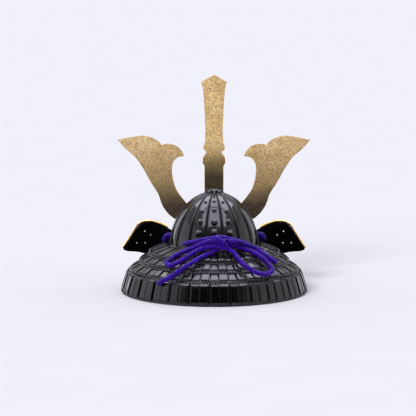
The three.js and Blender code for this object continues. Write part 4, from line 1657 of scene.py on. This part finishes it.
    def _rope(self, tier: Tier, finish: Material) -> Piece:
        """Runs cast beads along a tier's foot and its lip, or along the skirt's foot.

        Args:
            tier: The tier.
            finish: The beads' finish.

        Returns:
            The piece.
        """
        if tier.steep:
            rows = [tier.foot - tier.down * self.skirt_row[0] + tier.out * self.skirt_row[1]]
        else:
            lip = (tier.foot + tier.under_foot) / 2 + tier.down * self.lip_down
            rows = [tier.foot - tier.down * self.ridge_width / 2 + tier.out * self.ridge_out, lip]
        paths = [self.at(self._turns(4), *at) for at in rows]
        slant = {"Slant": self.bead_slant}
        return Repeater(f"{tier.name}_rope", bead_tree(), finish, self.beads, slant).along(paths)

    def _lacing(self, finish: Material) -> Piece:
        """Runs the short upright stitches of cast lacing round the skirt's top.

        Args:
            finish: The stitches' finish.

        Returns:
            The piece.
        """
        skirt = self.tiers()[-1]
        at = skirt.top + skirt.down * self.lacing_row[0] + skirt.out * self.lacing_row[1]
        path = self.at(self._turns(4), *at)
        slant = {"Slant": self.stitch_slant}
        return Repeater("skirt_lacing", bead_tree(), finish, self.stitches, slant).along([path])

    def _boss(self, finish: Material) -> Piece:
        """Seats the oval boss on the first tier, below the right wing's root.

        Args:
            finish: Its finish.

        Returns:
            The piece.
        """
        place, outward, across, _ = self._frame(self.tiers()[0], self.boss_turn, 0.5)
        spots = Spots()
        leaning = across - np.cross(outward, across)
        spots.add(place + outward * self.boss_out, outward, leaning, self.boss_size)
        shares = {"Fullness": 0.9, "Washer": 1.12}
        return Repeater("oval_boss", dome_tree(), finish, shares=shares).over(spots)

    def _visor(self, finishes: Finishes) -> None:
        """Makes the peak in front and the gilt strip round its edge.

        Args:
            finishes: The helmet's finishes.
        """
        top, wall, edge = self.bowl.base - CLEARANCE, self.visor_wall, self.visor_edge
        strip = bar_section(self.visor_rim_width, self.visor_rim_height, 0.6, 0.6)
        plates, rims = [], []
        for sideways in np.linspace(-1, 1, self.visor_columns):
            share = self.visor_least + (1 - self.visor_least) * math.cos(math.pi / 2 * sideways)
            radius, height = self.waist + self.visor_reach * share, top - self.visor_drop * share
            turn = 180 + self.visor_half_span * sideways
            section = [(self.waist, top), (radius - edge, height + self.visor_round), (radius, height - edge)]
            section += [(radius, height - wall + edge), (radius - edge, height - wall)]
            section += [(self.waist, top - wall)]
            plates.append(self.at(turn, *np.array(section).T))
            centre = np.array([radius + CLEARANCE + self.visor_rim_width / 2, height - wall / 2])
            rims.append(self.at(turn, *(centre + strip).T))
        peak = skin("front_peak", np.stack(plates), Cap.PLATE, [finishes.black], 50.0)
        hand_over(peak, Slot.BLACK, "visor")
        rim = skin("front_peak_rim", np.stack(rims), Cap.PLATE, [finishes.bright], 50.0)
        hand_over(rim, Slot.BRIGHT, "visor_rim")


# The wings


@dataclass
class Wing:
    """One turned-back wing with its gilt rim and pins, drawn for the wearer's right.

    stations gives, for shares of the way out, the lower and the upper edge as shares of the height.
    pins gives each pin's share of the way out and up.
    """

    side: int
    word: str
    inner_edge: float = 25.6
    span: float = 29.6
    lowest: float = 18.4
    height: float = 20.0
    thickness: float = 1.6
    columns: int = 56
    edge: float = 0.35
    edge_roll: float = 0.7
    bow_y: float = 24.9
    dip: float = 2.2
    sweep: float = 8.5
    rim_width: float = 1.3
    rim_depth: float = 2.2
    rim_step: float = 0.45
    head_width: float = 2.4
    end_width: float = 1.0
    head_rise: float = 1.3
    stations: Sequence[tuple[float, float, float]] = (
        (0, 0.33, 0.74), (0.1, 0.25, 0.83), (0.21, 0.2, 0.905), (0.32, 0.165, 0.955), (0.43, 0.115, 0.995),
        (0.516, 0, 1), (0.6, 0.045, 0.99), (0.68, 0.08, 0.93), (0.76, 0.105, 0.755), (0.83, 0.12, 0.6),
        (0.92, 0.14, 0.41), (1, 0.2, 0.25),
    )
    pins: Sequence[tuple[float, float]] = ((0.58, 0.715), (0.45, 0.6), (0.57, 0.36), (0.745, 0.375))

    def forward(self, across: Points | float) -> Points:
        """Gives how far forward the wing stands.

        Args:
            across: Places across.

        Returns:
            The wing's middle plane at each of them.
        """
        crest = self.inner_edge + self.span / 3
        away = np.abs(np.asarray(across) - crest)
        inside = self.bow_y - self.dip * (away / (self.span / 3)) ** 2
        outside = self.bow_y - self.sweep * (away / (self.span / 1.5)) ** 1.6
        return np.where(np.asarray(across) < crest, inside, outside)

    def build(self, finishes: Finishes) -> None:
        """Makes the wing, its rim and its pins.

        Args:
            finishes: The helmet's finishes.
        """
        hand_over(self._plate(finishes.satin, finishes.black), Slot.BLACK, f"wing_{self.word}")
        hand_over(self._rim(finishes.bright), Slot.BRIGHT, f"wing_rim_{self.word}")
        nodes = [f"wing_pin_{self.word}_{i + 1}" for i in range(len(self.pins))]
        hand_over(self._pins("pins", 1, self.head_width, finishes.bright), Slot.BRIGHT, *nodes)
        hand_over(self._pins("pin_ends", -1, self.end_width, finishes.pin_end), Slot.BRIGHT)

    def _mirrored(self, points: Points) -> Points:
        """Puts points or directions drawn for the right side on this wing's side."""
        return points * (self.side, 1.0, 1.0)

    def _plate(self, satin: Material, black: Material) -> Piece:
        """Makes the bent plate with rounded edges.

        Args:
            satin: The finish of its back.
            black: The finish of its face.

        Returns:
            The piece.
        """
        rows = np.array(self.stations)
        shares = np.unique(np.concatenate([np.linspace(0, 1, self.columns), rows[:, 0]]))
        lows, highs = (np.interp(shares, rows[:, 0], rows[:, i]) for i in (1, 2))
        half, rolled = self.thickness / 2, self.thickness / 2 * self.edge_roll
        rings = []
        for share, low, high in zip(shares, lows, highs):
            x = self.inner_edge + self.span * share
            foot, head = self.lowest + self.height * low, self.lowest + self.height * high
            edge = min(self.edge, (head - foot) / 4)
            up = [foot + edge, *np.linspace(foot + edge, head - edge, 6)[1:-1], head - edge]
            y = float(self.forward(x))
            head_roll = [(x, y + out, head - 0.1 * edge) for out in (-rolled, rolled)]
            foot_roll = [(x, y + out, foot + 0.1 * edge) for out in (rolled, -rolled)]
            back, front = [(x, y - half, z) for z in up], [(x, y + half, z) for z in up[::-1]]
            rings.append(back + head_roll + front + foot_roll)
        mirrored = self._mirrored(np.array(rings))
        plate = skin(f"{self.word}_wing", mirrored, Cap.PLATE, [satin, black], 45.0)
        for face in plate.data.polygons:
            face.material_index = int(face.normal.y > 0.3)
        return plate

    def _rim(self, bright: Material) -> Piece:
        """Makes the gilt strip along the wing's upper edge.

        Args:
            bright: Its finish.

        Returns:
            The piece.
        """
        edge = np.array([
            (self.inner_edge + self.span * out, self.lowest + self.height * head)
            for out, _, head in self.stations
        ])
        centres = []
        for i in range(1, len(edge)):
            along = unit(edge[min(i + 1, len(edge) - 1)] - edge[i - 1])
            out = np.array([-along[1], along[0]])
            place = edge[i] + out * (self.rim_width / 2 - 0.05)
            centres.append((place[0], float(self.forward(edge[i][0])), place[1]))
        path = smooth_route(centres, self.rim_step)
        out = unit(np.cross(tangents(path), (0.0, 1.0, 0.0)))
        wide, deep = bar_section(self.rim_width, self.rim_depth, 0.7, 0.5).T
        rings = path[:, None] + out[:, None] * wide[None, :, None] + np.array([0, 1, 0]) * deep[None, :, None]
        return skin(f"{self.word}_wing_rim", self._mirrored(rings), Cap.PLATE, [bright], 50.0)

    def _pins(self, word: str, direction: int, width: float, finish: Material) -> Piece:
        """Sets a domed head on every pin.

        Args:
            word: What the heads are called.
            direction: 1 for the wing's face, -1 for its back.
            width: The heads' width.
            finish: Their finish.

        Returns:
            The piece.
        """
        nudge = 0.05
        spots = Spots()
        for out_share, up_share in self.pins:
            x, z = self.inner_edge + self.span * out_share, self.lowest + self.height * up_share
            slope = float(self.forward(x + nudge) - self.forward(x - nudge)) / (2 * nudge)
            face = unit(np.array([-slope, 1.0, 0.0])) * direction
            seat = np.array([x, float(self.forward(x)), z]) + face * (self.thickness / 2 + 0.05)
            across = self._mirrored(np.array([1.0, slope, 0.0]))
            spots.add(self._mirrored(seat), self._mirrored(face), across, (width, width, self.head_rise))
        return Repeater(f"{self.word}_wing_{word}", dome_tree(), finish, shares={"Fullness": 1.0}).over(spots)


# The crest


@dataclass
class Crest:
    """The horns and the blade, cast flat, with polished edges and faces.

    horn_stretches gives the horn's outline as runs of smooth curve, each point by shares of the
    half span across and of the way up from the tenon. blade_outline gives the blade's right half by
    shares of its half width and of the way up from its foot.
    """

    bowl: Bowl
    thickness: float = 1.8
    height: float = 128.0
    blade_half_width: float = 7.8
    horn_half_span: float = 59.1
    horn_top: float = 90.6
    gap_to_bowl: float = 0.45
    rib_height: float = 0.6
    holder_half_width: float = 14.0
    holder_height: float = 15.2
    holder_wall: float = 1.3
    tenon_height: float = 6.0
    tenon_depth: float = 5.0
    tenon_lift: float = 6.4
    blade_depth: float = 8.6
    bevel: float = 0.36
    outline_step: float = 1.4
    horn_stretches: Sequence[Route] = (
        ((0.42, 0.065), (0.48, 0.122), (0.535, 0.205), (0.555, 0.258)),
        ((0.555, 0.258), (0.582, 0.343), (0.653, 0.466), (0.748, 0.65), (0.824, 0.764), (0.917, 0.851),
         (1, 0.953)),
        ((1, 0.953), (0.9, 0.975), (0.746, 1), (0.641, 0.978), (0.563, 0.923), (0.543, 0.897)),
        ((0.543, 0.897), (0.479, 0.908), (0.389, 0.885), (0.34, 0.836), (0.308, 0.77)),
        ((0.308, 0.77), (0.374, 0.757), (0.423, 0.704), (0.437, 0.616), (0.425, 0.505), (0.393, 0.397),
         (0.349, 0.324), (0.294, 0.25), (0.237, 0.175)),
    )
    blade_outline: Route = (
        (0, 1), (1, 0.952), (0.859, 0.907), (0.769, 0.803), (0.686, 0.646), (0.72, 0.55), (0.85, 0.52),
        (0.83, 0.5), (0.583, 0.484), (0.865, 0.447), (0.91, 0.415), (0.75, 0.388), (0.75, 0),
    )

    def __post_init__(self) -> None:
        """Works out the places that follow from the sizes."""
        self.holder_base = self.bowl.base + self.bowl.flange_thickness + CLEARANCE
        self.tenon_base = self.holder_base + self.tenon_lift
        self.tenon_top = self.tenon_base + self.tenon_height
        self.tenon_end = self.holder_half_width - self.tenon_depth
        self.blade_base = self.holder_base + self.holder_height - self.blade_depth
        reach = self.bowl.half_length + self.rib_height + self.gap_to_bowl
        self.middle_y = reach + self.holder_wall + self.thickness / 2

    def build(self, finishes: Finishes) -> None:
        """Makes both horns and the blade, and dresses the holder.

        Args:
            finishes: The helmet's finishes.
        """
        horn = self._horn_outline()
        for side, word in ((-1, "left"), (1, "right")):
            piece = self._casting(f"{word}_horn", horn * (side, 1.0), finishes.cast, finishes.bright)
            hand_over(piece, Slot.CAST, f"horn_{word}")
        blade = self._casting("tall_blade", self._blade_outline(), finishes.blade_cast, finishes.bright)
        hand_over(blade, Slot.CAST, "crest_blade")
        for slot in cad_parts["crest_holder"].material_slots:
            slot.material = finishes.bright
        LOG.info("crest_holder: dressed")

    def _horn_outline(self) -> Points:
        """Gives the right horn's outline, across and up.

        Returns:
            Its points.
        """
        tenon = [
            (self.holder_half_width + CLEARANCE, self.tenon_top),
            (self.tenon_end, self.tenon_top),
            (self.tenon_end, self.tenon_base),
            (self.holder_half_width + 4 * CLEARANCE, self.tenon_base),
        ]
        rise = self.horn_top - self.tenon_base
        curved: list[list[float]] = []
        for stretch in self.horn_stretches:
            places = [(self.horn_half_span * out, self.tenon_base + rise * up) for out, up in stretch]
            curved = curved[:-1] + smooth_route(places, self.outline_step).tolist()
        return np.array([*tenon, *curved])

    def _blade_outline(self) -> Points:
        """Gives the blade's whole outline, across and up.

        Returns:
            Its points.
        """
        half, foot = self.blade_half_width, self.blade_base
        rise = self.height - foot
        right = np.array([(half * out, foot + rise * up) for out, up in self.blade_outline])
        return np.vstack([right, right[:0:-1] * (-1.0, 1.0)])

    def _casting(self, name: str, outline: Points, rough: Material, polished: Material) -> Piece:
        """Makes a flat casting with rounded edges.

        Args:
            name: The piece's name.
            outline: Its outline, across and up.
            rough: The finish of its back.
            polished: The finish of its edge and face.

        Returns:
            The piece.
        """
        count = len(outline)
        back, front = self.middle_y - self.thickness / 2, self.middle_y + self.thickness / 2
        points = np.array([(x, y, z) for y in (back, front) for x, z in outline])
        faces: Faces = [(i, (i + 1) % count, count + (i + 1) % count, count + i) for i in range(count)]
        faces += [tuple(range(count - 1, -1, -1)), tuple(range(count, 2 * count))]
        piece = make_object(name, points, faces, [rough, polished])
        shape = bmesh.new()
        shape.from_mesh(piece.data)
        rim = [edge for edge in shape.edges if abs(edge.verts[0].co.y - edge.verts[1].co.y) < SAME_PLACE / 10]
        rounding = {"offset": self.bevel * MM, "segments": 2, "profile": 0.6, "clamp_overlap": True}
        bmesh.ops.bevel(shape, geom=rim, affect="EDGES", **rounding)
        for face in shape.faces:
            face.smooth = True
            face.material_index = 0 if face.normal.y < -0.95 else 1
        shape.to_mesh(piece.data)
        shape.free()
        piece.data.set_sharp_from_angle(angle=math.radians(35.0))
        return piece


def main() -> None:
    """Builds the studio, the cord and then every part of the helmet."""
    logging.basicConfig(level=logging.INFO, format="%(name)s: %(message)s")
    Studio().build()
    finishes = Finishes()
    CordAndBow().build(finishes.silk)
    bowl = Bowl()
    bowl.build(finishes)
    NeckGuard(bowl).build(finishes)
    for side, word in ((-1, "left"), (1, "right")):
        Wing(side, word).build(finishes)
    Crest(bowl).build(finishes)
    bpy.context.view_layer.update()


if __name__ == "__main__":
    main()
